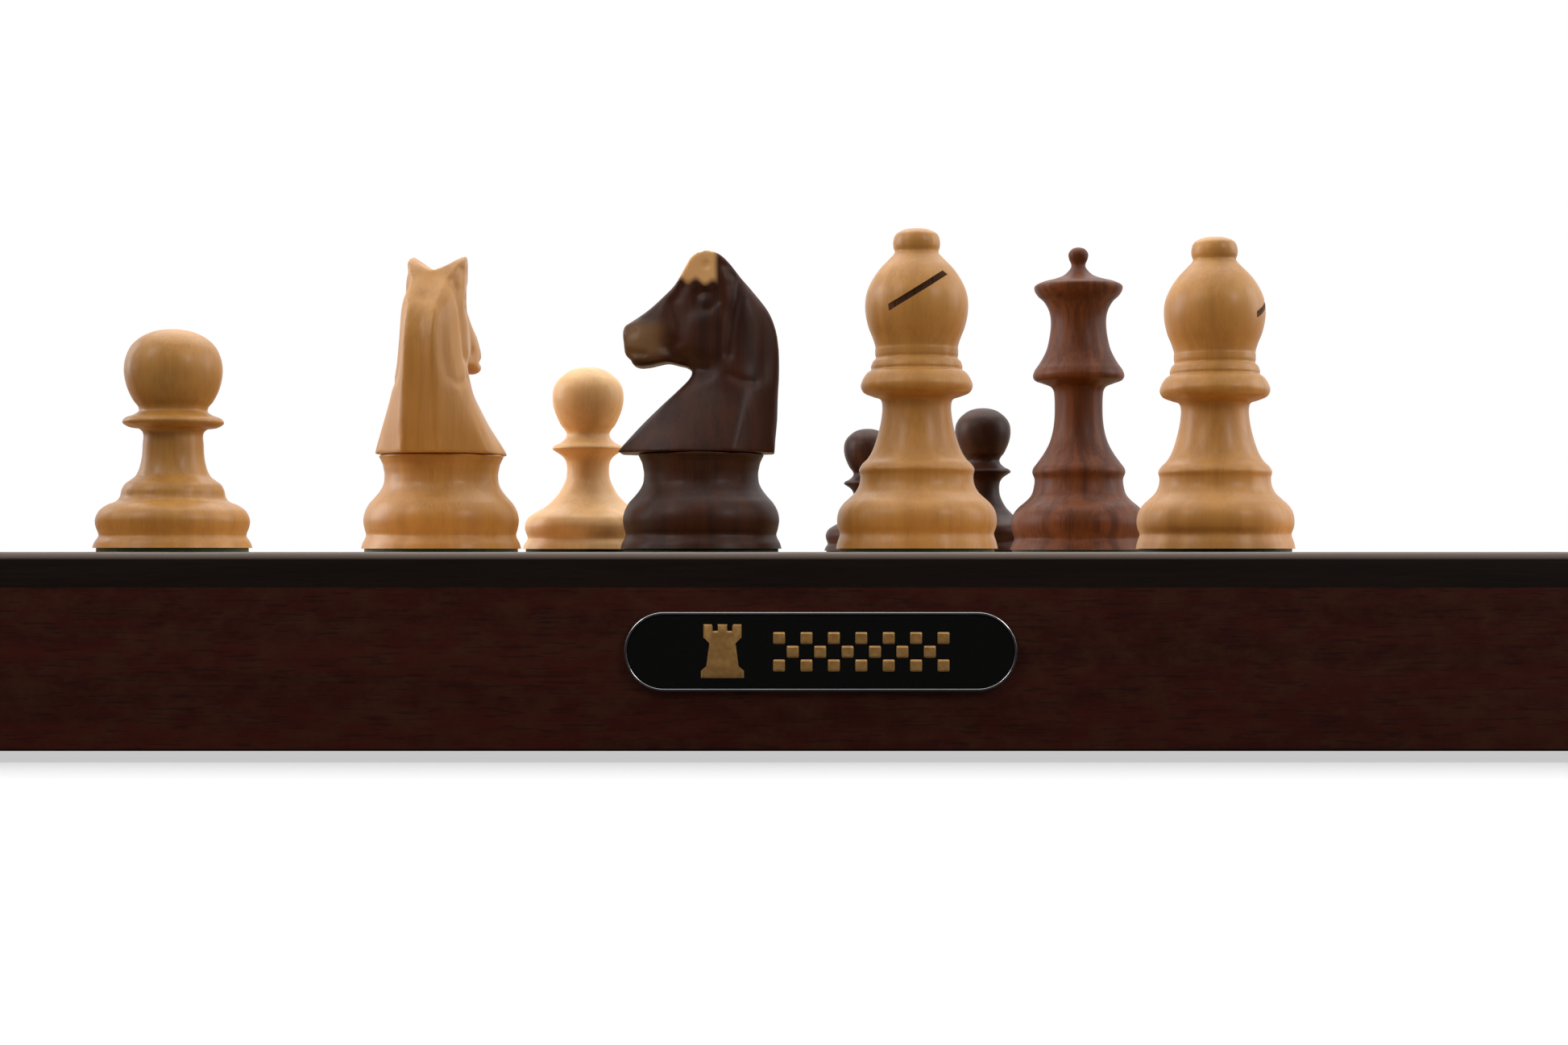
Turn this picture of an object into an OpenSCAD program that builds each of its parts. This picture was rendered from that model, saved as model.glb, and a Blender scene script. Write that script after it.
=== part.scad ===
// Electronic chess computer: a veneered sensor board in a mitred wooden frame, with three plug-in
// modules (display, keys, program) in its rear rail, and the weighted wooden pieces of a game.
// Row frame: +Z up, origin under the middle of the board at the feet's soles, badge side at -Y.

/* [Board] */
// Side of one chess square
square = 50; // [48:0.5:52]
// Border from the outermost squares to the outside of the frame
border = 30; // [28:1:34]
// Thickness of the top panel
panel_t = 6; // [5:0.5:8]
// Depth of the recess that the veneer squares lie in
veneer_t = 1; // [0.6:0.1:1.2]
// Gap left between neighbouring veneer squares
veneer_gap = 0.1; // [0.05:0.05:0.2]
// Radius rounding the top edge of the panel
edge_r = 1.4; // [0.5:0.1:1.5]

/* [Frame] */
// Height of the side rails under the panel
rail_h = 27.5; // [27:0.5:32]
// Thickness of the side rails
rail_t = 20; // [18:1:24]
// Width of the rabbet that takes the bottom cover
rabbet_w = 8; // [7:0.5:10]
// Thickness of the bottom cover
cover_t = 4; // [4:0.5:5]
// Height of the rubber feet
foot_h = 2; // [1.5:0.5:4]
// Radius of a rubber foot
foot_r = 10; // [8:1:12]
// Distance of each foot from the board's centre lines
foot_at = 203; // [190:1:206]

/* [Badge] */
// Length of the badge
badge_l = 66; // [50:1:80]
// Height of the badge, which is also the diameter of its round ends
badge_h = 13.3; // [10:0.1:16]
// How far the badge's rim stands out of the front rail
badge_t = 1.2; // [0.8:0.1:1.5]
// Width of the bright rim
badge_rim_w = 0.45; // [0.3:0.05:1]

/* [Sensing] */
// Radius of a square's lamp
led_r = 1.5; // [1:0.1:2]
// Offset of each lamp from the middle of its square, along X and along Y
led_offset = 17; // [15:0.5:20]
// Gap between the panel and the sensor board
sensor_gap = 3; // [2.8:0.1:3.2]
// Thickness of the circuit boards
pcb_t = 1.6; // [1.2:0.1:2]

/* [Modules] */
// Width of a module's body
module_w = 98; // [94:1:99]
// Distance between the middles of neighbouring modules
module_pitch = 101; // [100:0.5:102]
// Depth of a module behind the frame's outer face
module_depth = 102; // [90:1:104]
// Height of a module's tail, which runs in under the sensor board
tail_h = 16.5; // [14:0.5:16.5]
// Wall thickness of the moulded cases
wall = 1.6; // [1.2:0.1:2]
// Thickness of a module's face
face_t = 3; // [2.5:0.1:4]
// Width of a key cap
key_w = 17; // [14:0.5:19]
// Height of a key cap
key_h = 6.4; // [5:0.1:7]
// Travel of a key
key_travel = 1.2; // [0.8:0.1:1.4]

/* [Battery] */
// Radius of a cell
cell_r = 7.2; // [7:0.05:7.2]
// Length of a cell
cell_l = 50.4; // [49:0.1:50.5]

/* [Pieces] */
// Thickness of the felt under each piece
felt_t = 0.8; // [0.5:0.1:1.2]
// Radius of the weight and magnet inside a piece's foot
weight_r = 8; // [5:0.5:10]
// Height of the weight and magnet
weight_h = 7; // [4:0.5:9]

/* [Hidden] */
$fn = 48;
eps = 0.02;                        // gap that keeps glued pieces separate solids
slack = 0.3;                       // clearance of a loose fit
field = 8 * square;                // side of the playing field
board_w = field + 2 * border;      // side of the whole board
half = board_w / 2;
rail_in = half - rail_t;           // inner face of the rails, from the centre
rail_top = foot_h + rail_h;        // underside of the top panel
top = rail_top + panel_t;          // playing surface
cover_top = foot_h + cover_t;
rabbet_in = rail_in + rabbet_w;
squares = [-3.5 : 3.5];            // middles of the files and ranks, in squares
sensor_top = rail_top - sensor_gap;
sensor_bottom = sensor_top - pcb_t;
sensor_half = field / 2 - 3;
sensor_corner = 20;                // cut off each corner of the sensor board
block_leg = 30;                    // legs of the glue blocks in the corners
bottom_chamfer = 0.4;

screw_r = 1.45;
screw_head_r = 3;
screw_head_h = 1.7;
screw_l = 9;
screw_hole_r = 1.6;
pilot_r = 1.5;
cover_screw_at = (rail_in + rabbet_in) / 2;
cover_screws = concat(
    [for (x = [-180, -60, 60, 180]) [x, -cover_screw_at]],
    [for (x = [-185, 185]) [x, cover_screw_at]],
    [for (side = [-1, 1], y = [-107, 0, 107]) [side * cover_screw_at, y]]
);
spacer_at = [for (x = [-3, 0, 3], y = [-3, 0, 3]) [x * square, y * square]];
spacer_r = 4;
sensor_screw_z = sensor_bottom - 0.1;

bay_half = 1.5 * module_pitch + 1; // half the width of the module bay
bay_z = 7;                         // top of the sill under the bay
module_z = 7.4;                    // underside of the modules
face_y = half - 0.3;               // outer face of the modules
face_back = face_y - face_t;
face_w = module_pitch - 0.6;
face_top = rail_top - 0.4;
head_y = 206;                      // back of a module's full-height head
tail_y = half - module_depth;      // back of a module's tail
tail_top = module_z + tail_h;
lid_z = tail_top - wall;
proud_y = half + badge_t;          // keys and grips stand as far out as the badge
module_x = [-module_pitch, 0, module_pitch];

window_w = 76;
window_h = 16.4;
window_t = 1.2;
view_w = 70;
view_h = 12.4;
face_mid_z = (module_z + face_top) / 2;
key_columns = [-36, -12, 12, 36];
key_rows = [face_mid_z + 4.6, face_mid_z - 4.6];
key_flange_t = 1.2;
key_board_y = face_back - 8.9;     // inner face of the board standing behind the keys

guide_x = [-bay_half + 1.4, -module_pitch / 2, module_pitch / 2, bay_half - 1.4];
backplane_y = tail_y - 10;
backplane_half = 148;

socket_x = 170;
switch_x = 192;
service_z = 16;                    // height of the power socket and the switch
socket_flange_r = 5.6;
socket_flange_t = 1.6;
socket_barrel_r = 4;
socket_barrel_l = 18;
socket_bore_r = 2.8;
socket_bore_l = 10;
socket_pin_r = 1.05;
socket_pin_l = 9;
switch_travel = 4;

battery_y = -110;
battery_half_x = 56;
battery_half_y = 28;
battery_top = 23.4;
cell_pitch = 15.4;
cell_z = cover_top + cell_r + 1;
hatch_half_x = 53;
hatch_half_y = 24;
door_half_x = 56;
door_half_y = 27;
door_lip = 2;                      // how far the door's flange runs under the tracks
door_face_t = 1;                   // thickness of the tracks' lips and of the face between them
door_flange_t = 0.8;
door_travel = 2 * door_half_y;

sounder_x = -170;
sounder_y = 60;

// ---------------------------------------------------------------- curves and shared shapes

// One point of a Catmull-Rom curve through p, on the stretch after point i
function between(p, i, t) = let (
    a = p[max(i - 1, 0)], b = p[i], c = p[i + 1], d = p[min(i + 2, len(p) - 1)]
) 0.5 * (2 * b + (c - a) * t + (2 * a - 5 * b + 4 * c - d) * t * t
    + (3 * b - a - 3 * c + d) * t * t * t);

// The curve through p as points, n to a stretch
function smooth(p, n = 3) = [
    for (i = [0 : len(p) - 2], k = [0 : n - 1]) between(p, i, k / n),
    p[len(p) - 1]
];

// Box given by its lowest and highest corners
module span(low, high) {
    translate(low) cube(high - low);
}

// Extrudes a drawing made in (Y, Z) along X, centred
module along_x(length) {
    rotate([90, 0, 90]) linear_extrude(length, center = true) children();
}

// Extrudes a drawing made in (X, Z) from y0 to y1
module along_y(y0, y1) {
    translate([0, y1, 0]) rotate([90, 0, 0]) linear_extrude(y1 - y0) children();
}

module stadium(length, height) {
    reach = (length - height) / 2;
    for (side = [-1, 1]) translate([side * reach, 0]) circle(d = height);
    square([2 * reach, height], center = true);
}

// Countersunk wood screw, head downwards at z = 0
module screw() {
    rotate_extrude() polygon([
        [0, 0], [screw_head_r, 0], [screw_r, screw_head_h], [screw_r, screw_l - 2], [0, screw_l]
    ]);
}

module countersunk_hole(depth) {
    rotate_extrude() polygon([
        [0, -1], [screw_head_r + 0.15, -1], [screw_head_r + 0.15, 0],
        [screw_hole_r, screw_head_h], [screw_hole_r, depth + 1], [0, depth + 1]
    ]);
}

// ---------------------------------------------------------------- frame

// The front rail's stick, with its mitred ends and the rabbet for the bottom cover
module rail_stick() {
    intersection() {
        along_x(board_w) polygon([
            [-half + bottom_chamfer, foot_h], [-rabbet_in, foot_h], [-rabbet_in, cover_top],
            [-rail_in, cover_top], [-rail_in, rail_top], [-half, rail_top],
            [-half, foot_h + bottom_chamfer]
        ]);
        linear_extrude(rail_top) polygon([
            [-half, -half], [half, -half], [rail_in, -rail_in], [-rail_in, -rail_in]
        ]);
    }
}

module drill_pilots() {
    difference() {
        children();
        for (at = cover_screws)
            translate([at.x, at.y, cover_top - 1]) cylinder(r = pilot_r, h = screw_l - cover_t + 1.5);
    }
}

module rail_front() {
    color("#3a1a12") drill_pilots() rail_stick();
}

module rail_left() {
    color("#3a1a12") drill_pilots() rotate([0, 0, -90]) rail_stick();
}

module rail_right() {
    color("#3a1a12") drill_pilots() rotate([0, 0, 90]) rail_stick();
}

module rail_rear() {
    color("#3a1a12") difference() {
        drill_pilots() rotate([0, 0, 180]) rail_stick();
        span([-bay_half, rail_in - 1, bay_z], [bay_half, half + 1, rail_top + 1]);
        translate([socket_x, half + 1, service_z]) rotate([90, 0, 0]) {
            cylinder(r = socket_barrel_r + 0.1, h = rail_t + 2);
            cylinder(r = socket_flange_r + 0.15, h = 1 + socket_flange_t);
        }
        translate([switch_x, 0, service_z]) {
            span([-6.2, rail_in - 1, -3.2], [6.2, half + 1, 3.2]);
            span([-8.2, half - 1, -4.7], [8.2, half + 1, 4.7]);
        }
    }
}

module corner_blocks() {
    color("#b98d5c") for (turn = [0 : 90 : 270]) rotate([0, 0, turn])
        translate([0, 0, cover_top + 0.1]) linear_extrude(sensor_bottom - cover_top - 0.6) polygon([
            [rail_in - eps, rail_in - eps],
            [rail_in - block_leg, rail_in - eps],
            [rail_in - eps, rail_in - block_leg]
        ]);
}

// ---------------------------------------------------------------- top panel and playing field

// Outline of the panel in a section, with its two top edges rounded
module panel_section() {
    arc = [for (a = [0 : 15 : 90]) edge_r * [cos(a), sin(a)]];
    inner = [half - edge_r, top - edge_r];
    right = [for (p = arc) inner + p];
    left = [for (i = [len(right) - 1 : -1 : 0]) [-right[i].x, right[i].y]];
    polygon(concat([[-half, rail_top], [half, rail_top]], right, left));
}

module lamp_holes(r) {
    for (i = squares, j = squares)
        translate([i * square + led_offset, j * square + led_offset, rail_top - 1])
            cylinder(r = r, h = panel_t + 2);
}

module top_panel() {
    color("#1c120d") difference() {
        intersection() {
            along_x(board_w) panel_section();
            rotate([0, 0, 90]) along_x(board_w) panel_section();
        }
        span([-field / 2 - 0.2, -field / 2 - 0.2, top - veneer_t],
            [field / 2 + 0.2, field / 2 + 0.2, top + 1]);
        lamp_holes(led_r + 0.15);
        for (at = spacer_at)
            translate([at.x, at.y, rail_top - 1])
                cylinder(r = pilot_r, h = sensor_screw_z + screw_l - rail_top + 1.1);
    }
}

// The inlaid squares of one colour: parity 0 holds the dark corner square at the front left
module veneer(parity) {
    side = square - veneer_gap;
    difference() {
        for (i = [0 : 7], j = [0 : 7]) if ((i + j) % 2 == parity)
            translate([(i - 3.5) * square, (j - 3.5) * square, top - veneer_t + eps])
                translate([-side / 2, -side / 2, 0]) cube([side, side, veneer_t - eps]);
        lamp_holes(led_r + 0.15);
    }
}

module light_squares() {
    color("#d9b37c") veneer(1);
}

module dark_squares() {
    color("#5a3320") veneer(0);
}

// Round-nosed lamp: straight body with a shallow domed end just under the playing surface
module square_leds() {
    dome = 0.5;
    color("#c8312a") for (i = squares, j = squares)
        translate([i * square + led_offset, j * square + led_offset, sensor_top + eps])
            rotate_extrude() polygon(concat(
                [[0, 0], [led_r, 0]],
                [for (a = [0 : 30 : 90])
                    [led_r * cos(a), top - 0.1 - dome - sensor_top - eps + dome * sin(a)]]
            ));
}

module sensor_board() {
    cut = sensor_half - sensor_corner;
    color("#1f5a33") difference() {
        translate([0, 0, sensor_bottom]) linear_extrude(pcb_t) polygon([
            [-sensor_half, -cut], [-cut, -sensor_half], [cut, -sensor_half], [sensor_half, -cut],
            [sensor_half, cut], [cut, sensor_half], [-cut, sensor_half], [-sensor_half, cut]
        ]);
        for (at = spacer_at) translate([at.x, at.y, sensor_screw_z]) countersunk_hole(pcb_t);
    }
}

// Glass reed tube on two bent legs under the middle of each square
module reed_switches() {
    reed_r = 1.1;
    reed_l = 13;
    axis_z = sensor_top + 1.5;
    color("#b9c4bd") for (i = squares, j = squares)
        translate([i * square, j * square, axis_z]) {
            rotate([0, 90, 0]) cylinder(r = reed_r, h = reed_l, center = true, $fn = 20);
            for (side = [-1, 1])
                translate([side * (reed_l / 2 - 0.8), 0, sensor_top + eps - axis_z])
                    cylinder(r = 0.5, h = axis_z - sensor_top, $fn = 16);
        }
}

module board_spacers() {
    color("#e4e0d6") for (at = spacer_at) translate([at.x, at.y, sensor_top]) difference() {
        cylinder(r = spacer_r, h = sensor_gap);
        translate([0, 0, -1]) cylinder(r = screw_hole_r, h = sensor_gap + 2);
    }
}

// ---------------------------------------------------------------- underside

module bottom_cover() {
    side = rabbet_in - slack;
    track_x = door_half_x + slack;
    color("#8a6a45") difference() {
        span([-side, -side, foot_h], [side, side, cover_top]);
        for (at = cover_screws) translate([at.x, at.y, foot_h]) countersunk_hole(cover_t);
        translate([0, battery_y, 0]) {
            span([-hatch_half_x, -hatch_half_y, foot_h + 1],
                [hatch_half_x, hatch_half_y, cover_top + 1]);
            span([-track_x + door_lip, -door_half_y - slack, foot_h - 1],
                [track_x - door_lip, door_half_y + door_travel + slack, foot_h + door_face_t + 0.1]);
            span([-track_x, -door_half_y - slack, foot_h + door_face_t],
                [track_x, door_half_y + door_travel + slack, foot_h + door_face_t + door_flange_t + 0.4]);
        }
        for (turn = [0 : 60 : 300])
            translate([sounder_x, sounder_y, foot_h - 1]) rotate([0, 0, turn])
                translate([6, 0, 0]) cylinder(r = 1, h = cover_t + 2);
        translate([sounder_x, sounder_y, foot_h - 1]) cylinder(r = 1, h = cover_t + 2);
    }
}

// Hatch in dovetail-like tracks: the wide flange runs inside the cover, the narrow face shows
module battery_door() {
    z0 = foot_h + 0.1;
    z1 = foot_h + door_face_t + 0.2;
    color("#15130f") translate([0, battery_y, 0]) difference() {
        union() {
            span([-door_half_x + door_lip, -door_half_y, z0],
                [door_half_x - door_lip, door_half_y, z1 + door_flange_t]);
            span([-door_half_x, -door_half_y, z1],
                [door_half_x, door_half_y, z1 + door_flange_t]);
        }
        for (row = [0 : 4])
            translate([-14, -door_half_y + 5 + row * 2.4, z0 - 1]) cube([28, 1.2, 1.5]);
    }
}

module screws() {
    color("#9a8a5a") {
        for (at = cover_screws) translate([at.x, at.y, foot_h]) screw();
        for (at = spacer_at) translate([at.x, at.y, sensor_screw_z]) screw();
    }
}

module rubber_feet() {
    color("#1a1a1a") for (x = [-1, 1], y = [-1, 1]) translate([x * foot_at, y * foot_at, 0])
        rotate_extrude() polygon([
            [0, 0], [foot_r - 1, 0], [foot_r, 0.6], [foot_r, foot_h], [0, foot_h]
        ]);
}

module sounder() {
    color("#20201f") translate([sounder_x, sounder_y, cover_top]) difference() {
        cylinder(r = 15, h = 6);
        translate([0, 0, -1]) cylinder(r = 12, h = 5.5);
    }
}

// ---------------------------------------------------------------- badge

badge_z = (foot_h + top) / 2;

module badge_plate() {
    color("#050505") translate([0, 0, badge_z]) along_y(-half - badge_t + 0.3, -half)
        stadium(badge_l - 2 * badge_rim_w - 2 * eps, badge_h - 2 * badge_rim_w - 2 * eps);
}

module badge_rim() {
    color("#c9c9c9") translate([0, 0, badge_z]) along_y(-proud_y, -half) difference() {
        stadium(badge_l, badge_h);
        stadium(badge_l - 2 * badge_rim_w, badge_h - 2 * badge_rim_w);
    }
}

// A castle tower beside a chequered ribbon, in low relief
module badge_emblem() {
    tower = [
        [-3.6, -4.4], [3.6, -4.4], [3.6, -3.2], [2.7, -2.4], [2.2, 1.4], [3.2, 2.4], [3.2, 4.6],
        [1.8, 4.6], [1.8, 3.5], [0.8, 3.5], [0.8, 4.6], [-0.8, 4.6], [-0.8, 3.5], [-1.8, 3.5],
        [-1.8, 4.6], [-3.2, 4.6], [-3.2, 2.4], [-2.2, 1.4], [-2.7, -2.4], [-3.6, -3.2]
    ];
    cell = 2.3;
    color("#b08a4c") translate([0, 0, badge_z]) along_y(-proud_y, -half - badge_t + 0.3 - eps) {
        translate([-16.5, 0]) polygon(tower);
        for (column = [0 : 12], row = [-1 : 1]) if ((column + row + 1) % 2 == 0)
            translate([-7 + column * cell, row * cell]) square(cell - 0.3, center = true);
    }
}

// ---------------------------------------------------------------- wiring inside the frame

module bay_guides() {
    color("#15130f") for (x = guide_x)
        translate([x, 0, 0]) span([-0.6, tail_y - 6, cover_top], [0.6, head_y - 1, 18]);
}

module backplane_board() {
    color("#1f5a33") {
        span([-backplane_half, backplane_y - pcb_t, cover_top],
            [backplane_half, backplane_y, sensor_bottom - 0.7]);
        for (x = module_x) translate([x, 0, 0])
            span([-22, backplane_y, 10], [22, tail_y - 0.4, 18]);
    }
}

module ribbon_cable() {
    back = backplane_y - pcb_t - eps;
    under = sensor_bottom - eps;
    color("#8c8f96") along_x(40) polygon([
        [back, 18], [back, 19], [back - 7, 19], [back - 10, under], [back - 20, under],
        [back - 20, under - 1], [back - 10.6, under - 1], [back - 7.6, 18]
    ]);
}

// Round socket for a plug with a hollow tip: a bore with a pin in the middle
module power_socket() {
    color("#101010") translate([socket_x, half, service_z]) rotate([90, 0, 0]) {
        difference() {
            union() {
                cylinder(r = socket_flange_r, h = socket_flange_t - eps);
                cylinder(r = socket_barrel_r, h = socket_barrel_l);
            }
            translate([0, 0, -1]) cylinder(r = socket_bore_r, h = socket_bore_l + 1);
        }
        translate([0, 0, socket_bore_l - socket_pin_l]) cylinder(r = socket_pin_r, h = socket_pin_l + 1);
    }
}

module switch_housing() {
    color("#101010") translate([switch_x, 0, service_z]) difference() {
        union() {
            span([-6, rail_in + 4, -3], [6, half, 3]);
            span([-8, half - 1 + eps, -4.5], [8, half, 4.5]);
        }
        span([-4.2, half - 7, -1.5], [4.2, half + 1, 1.5]);
    }
}

module power_switch() {
    color("#d8d4cb") translate([switch_x - switch_travel / 2, 0, service_z]) difference() {
        span([-2, half - 6.8, -1.3], [2, proud_y, 1.3]);
        for (x = [-1.1, 0, 1.1]) translate([x, proud_y, 0]) cube([0.4, 0.8, 4], center = true);
    }
}

module battery_box() {
    color("#15130f") translate([0, battery_y, 0]) difference() {
        span([-battery_half_x, -battery_half_y, cover_top], [battery_half_x, battery_half_y, battery_top]);
        span([-battery_half_x + wall, -battery_half_y + wall, cover_top - 1],
            [battery_half_x - wall, battery_half_y - wall, battery_top - wall]);
    }
}

// Three rows of two cells, nose to tail, each row turned the other way from its neighbour
module battery_cells() {
    nose = 1;
    color("#7d2b24") for (row = [-1 : 1], end = [-1, 0])
        translate([0, battery_y + row * cell_pitch, cell_z]) rotate([0, 90, row == 0 ? 180 : 0])
            translate([0, 0, end * cell_l + (end < 0 ? -eps : eps)]) {
                cylinder(r = cell_r, h = cell_l - nose);
                translate([0, 0, cell_l - nose]) cylinder(r = 2.6, h = nose);
            }
}

// Contact plates with tapered, ribbed springs, pressed on both ends of every row of cells
module battery_contacts() {
    plate_x = battery_half_x - wall - 0.7;
    reach = plate_x - cell_l - 3 * eps;
    turns = 4;
    ribs = [for (k = [0 : turns - 1], out = [0.5, 0]) [
        4 - 0.35 * k - out, (k + (out > 0 ? 0 : 0.5)) * reach / turns
    ]];
    color("#c7c7c2") for (side = [0, 180]) translate([0, battery_y, 0]) rotate([0, 0, side]) {
        span([plate_x, -22, cell_z - 5.5], [plate_x + 0.6, 22, cell_z + 5.5]);
        for (row = [-1 : 1]) translate([plate_x + eps, row * cell_pitch, cell_z]) rotate([0, -90, 0])
            rotate_extrude() polygon(concat([[1.2, 0]], ribs, [[2.2, reach], [1.2, reach]]));
    }
}

// ---------------------------------------------------------------- plug-in modules

// Tray of a module, centred on x = 0: full-height head behind the face, lower tail, open on top
module case_tray() {
    w = module_w / 2;
    difference() {
        union() {
            span([-face_w / 2, face_back, module_z], [face_w / 2, face_y, face_top]);
            span([-w, head_y, module_z], [w, face_back + eps, face_top - 0.2]);
            span([-w, tail_y, module_z], [w, head_y + wall, lid_z]);
        }
        span([-w + wall, head_y + wall, module_z + wall], [w - wall, face_back, face_top - 0.2 - wall]);
        span([-w + wall, tail_y + wall, module_z + wall], [w - wall, head_y + wall + eps, lid_z + 1]);
    }
    for (x = [-1, 1], y = [tail_y + 12, head_y - 10])
        translate([x * (w - 10), y, module_z + wall - eps]) cylinder(r = 2.5, h = 2);
}

module case_lid() {
    w = module_w / 2;
    span([-w, tail_y, lid_z + eps], [w, head_y - eps, tail_top]);
}

// Circuit board in a tail, on the tray's pegs, with a few packaged parts on it
module tail_board(chips) {
    z = module_z + wall + 2;
    w = module_w / 2 - wall - 2;
    span([-w, tail_y + 3, z], [w, head_y - 2, z + pcb_t]);
    for (chip = chips) translate([chip[0], chip[1], z + pcb_t - eps])
        translate([-chip[2] / 2, -chip[3] / 2, 0]) cube([chip[2], chip[3], 3.2]);
}

module at_display() {
    translate([module_x[0], 0, 0]) children();
}

module at_keys() {
    translate([module_x[1], 0, 0]) children();
}

module at_program() {
    translate([module_x[2], 0, 0]) children();
}

module display_case() {
    color("#15130f") at_display() difference() {
        case_tray();
        translate([0, 0, face_mid_z]) {
            span([-view_w / 2, face_back - 1, -view_h / 2], [view_w / 2, face_y + 1, view_h / 2]);
            span([-window_w / 2, face_y - window_t, -window_h / 2], [window_w / 2, face_y + 1, window_h / 2]);
        }
    }
}

module display_lid() {
    color("#15130f") at_display() case_lid();
}

module display_window() {
    w = window_w / 2 - 0.15;
    h = window_h / 2 - 0.15;
    color("#9fb0b4") at_display() translate([0, 0, face_mid_z])
        span([-w, face_y - window_t + eps, -h], [w, face_y, h]);
}

module display_panel() {
    color("#7f8f6a") at_display() translate([0, 0, face_mid_z])
        span([-37.5, face_back - 3, -8.2], [37.5, face_back - eps, 8.2]);
}

module display_board() {
    color("#1f5a33") at_display() tail_board([[0, 180, 34, 12], [-24, 155, 12, 12], [22, 152, 16, 10]]);
}

module key_case() {
    color("#15130f") at_keys() difference() {
        case_tray();
        for (x = key_columns, z = key_rows) translate([x, 0, z])
            span([-key_w / 2 - 0.25, face_back - 1, -key_h / 2 - 0.25],
                [key_w / 2 + 0.25, face_y + 1, key_h / 2 + 0.25]);
    }
    color("#15130f") at_keys() for (x = [-42, 42]) translate([x, 0, 0])
        span([-1, key_board_y - 3, module_z + wall - eps], [1, key_board_y - eps, face_top - 4]);
}

module key_lid() {
    color("#15130f") at_keys() case_lid();
}

// Contact board standing behind the keys, and the module's own circuit board
module key_board() {
    color("#1f5a33") at_keys() {
        span([-45, key_board_y, module_z + wall + eps], [45, key_board_y + pcb_t, face_top - 2.2]);
        tail_board([[0, 175, 20, 20]]);
    }
}

// Rubber sheet with a dome behind each key
module key_mat() {
    sheet_t = 1.6;
    back = key_board_y + pcb_t + eps;
    dome_h = face_back - back - sheet_t - key_flange_t - key_travel - 0.3;
    color("#c9c6bf") at_keys() {
        translate([0, 0, face_mid_z]) span([-45, back, -8.6], [45, back + sheet_t, 8.6]);
        for (x = key_columns, z = key_rows) translate([x, back + sheet_t - eps, z])
            rotate([-90, 0, 0]) rotate_extrude() polygon([
                [0, 0], [3.6, 0], [2.6, dome_h - 0.6], [2.4, dome_h], [0, dome_h]
            ]);
    }
}

// Key cap with a dished front, held behind the module's face by its flange
module key_cap(number) {
    column = key_columns[(number - 1) % 4];
    row = key_rows[floor((number - 1) / 4)];
    round_r = 1;
    color("#3b3a37") at_keys() translate([column, 0, row]) difference() {
        union() {
            along_y(face_back - 0.2, proud_y) {
                square([key_w - 2 * round_r, key_h], center = true);
                square([key_w, key_h - 2 * round_r], center = true);
                for (x = [-1, 1], z = [-1, 1])
                    translate([x * (key_w / 2 - round_r), z * (key_h / 2 - round_r)]) circle(round_r);
            }
            span([-key_w / 2 - 1, face_back - 0.1 - key_flange_t, -key_h / 2 - 0.8],
                [key_w / 2 + 1, face_back - 0.1, key_h / 2 + 0.8]);
        }
        translate([0, proud_y + 39.6, 0]) cylinder(r = 40, h = key_h - 2, center = true, $fn = 96);
    }
}

module program_case() {
    color("#15130f") at_program() {
        case_tray();
        for (row = [-2 : 2])
            translate([0, 0, face_mid_z + row * 3]) span([-30, face_y - eps, -0.6], [30, proud_y, 0.6]);
    }
}

module program_lid() {
    color("#15130f") at_program() case_lid();
}

module program_board() {
    color("#1f5a33") at_program()
        tail_board([[-20, 180, 24, 24], [16, 184, 38, 14], [16, 164, 38, 14], [-22, 148, 14, 8]]);
}

// ---------------------------------------------------------------- chess pieces
// Half-profiles as [radius, height above the playing surface], each drawn as a smooth curve.

pawn_foot = [
    [14.8, 0.8], [14.4, 1.9], [13.7, 3], [13.7, 3.5], [14.2, 4.9], [14.3, 6.2], [13.6, 7.8],
    [12.2, 8.9]
];
stout_pawn = concat(pawn_foot, [
    [10.4, 9.7], [9.8, 10.5], [9.5, 11.8], [8.9, 12.9], [8, 13.6], [7, 14.4], [6.3, 15.8],
    [5.8, 18], [5.65, 20.4], [5.6, 22.6], [6.3, 23.4], [8.3, 23.8], [9.4, 24.6], [9, 25.4],
    [7.3, 26.1], [6.4, 26.8], [6.5, 27.6], [7.4, 28.8], [8.4, 30.8], [9, 33], [9.15, 35],
    [8.8, 37.1], [7.8, 39.2], [6.1, 40.8], [3.8, 41.9], [1.9, 42.3], [0, 42.4]
]);
slim_pawn = concat(pawn_foot, [
    [10.8, 9.7], [9.7, 10.4], [8.8, 11.1], [7.8, 12.1], [6.8, 13.2], [6.1, 14.3], [5.5, 15.5],
    [5, 16.8], [4.8, 18.2], [4.8, 19.6], [5.05, 20.8], [5.8, 21.9], [7.2, 22.9], [8.1, 23.6],
    [7.8, 24.2], [6.3, 25], [5.2, 26], [4.85, 27], [5.3, 28], [6.1, 29], [7.1, 31], [7.8, 33],
    [8.1, 35.2], [7.85, 37.4], [7.05, 39], [5.8, 40.3], [4, 41.5], [2, 42.1], [0, 42.3]
]);
knight_foot = [
    [17.3, 0.8], [17, 1.9], [16.4, 3.1], [16.2, 3.8], [16.5, 5], [16.8, 6.9], [16.5, 8.7],
    [15.6, 10.5], [14.3, 12], [13.2, 13.4], [12.5, 14.8], [12.3, 16.2], [12.3, 17.2], [12.5, 18.3],
    [12.7, 19.2], [13.1, 20.1], [13.4, 21]
];
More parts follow.
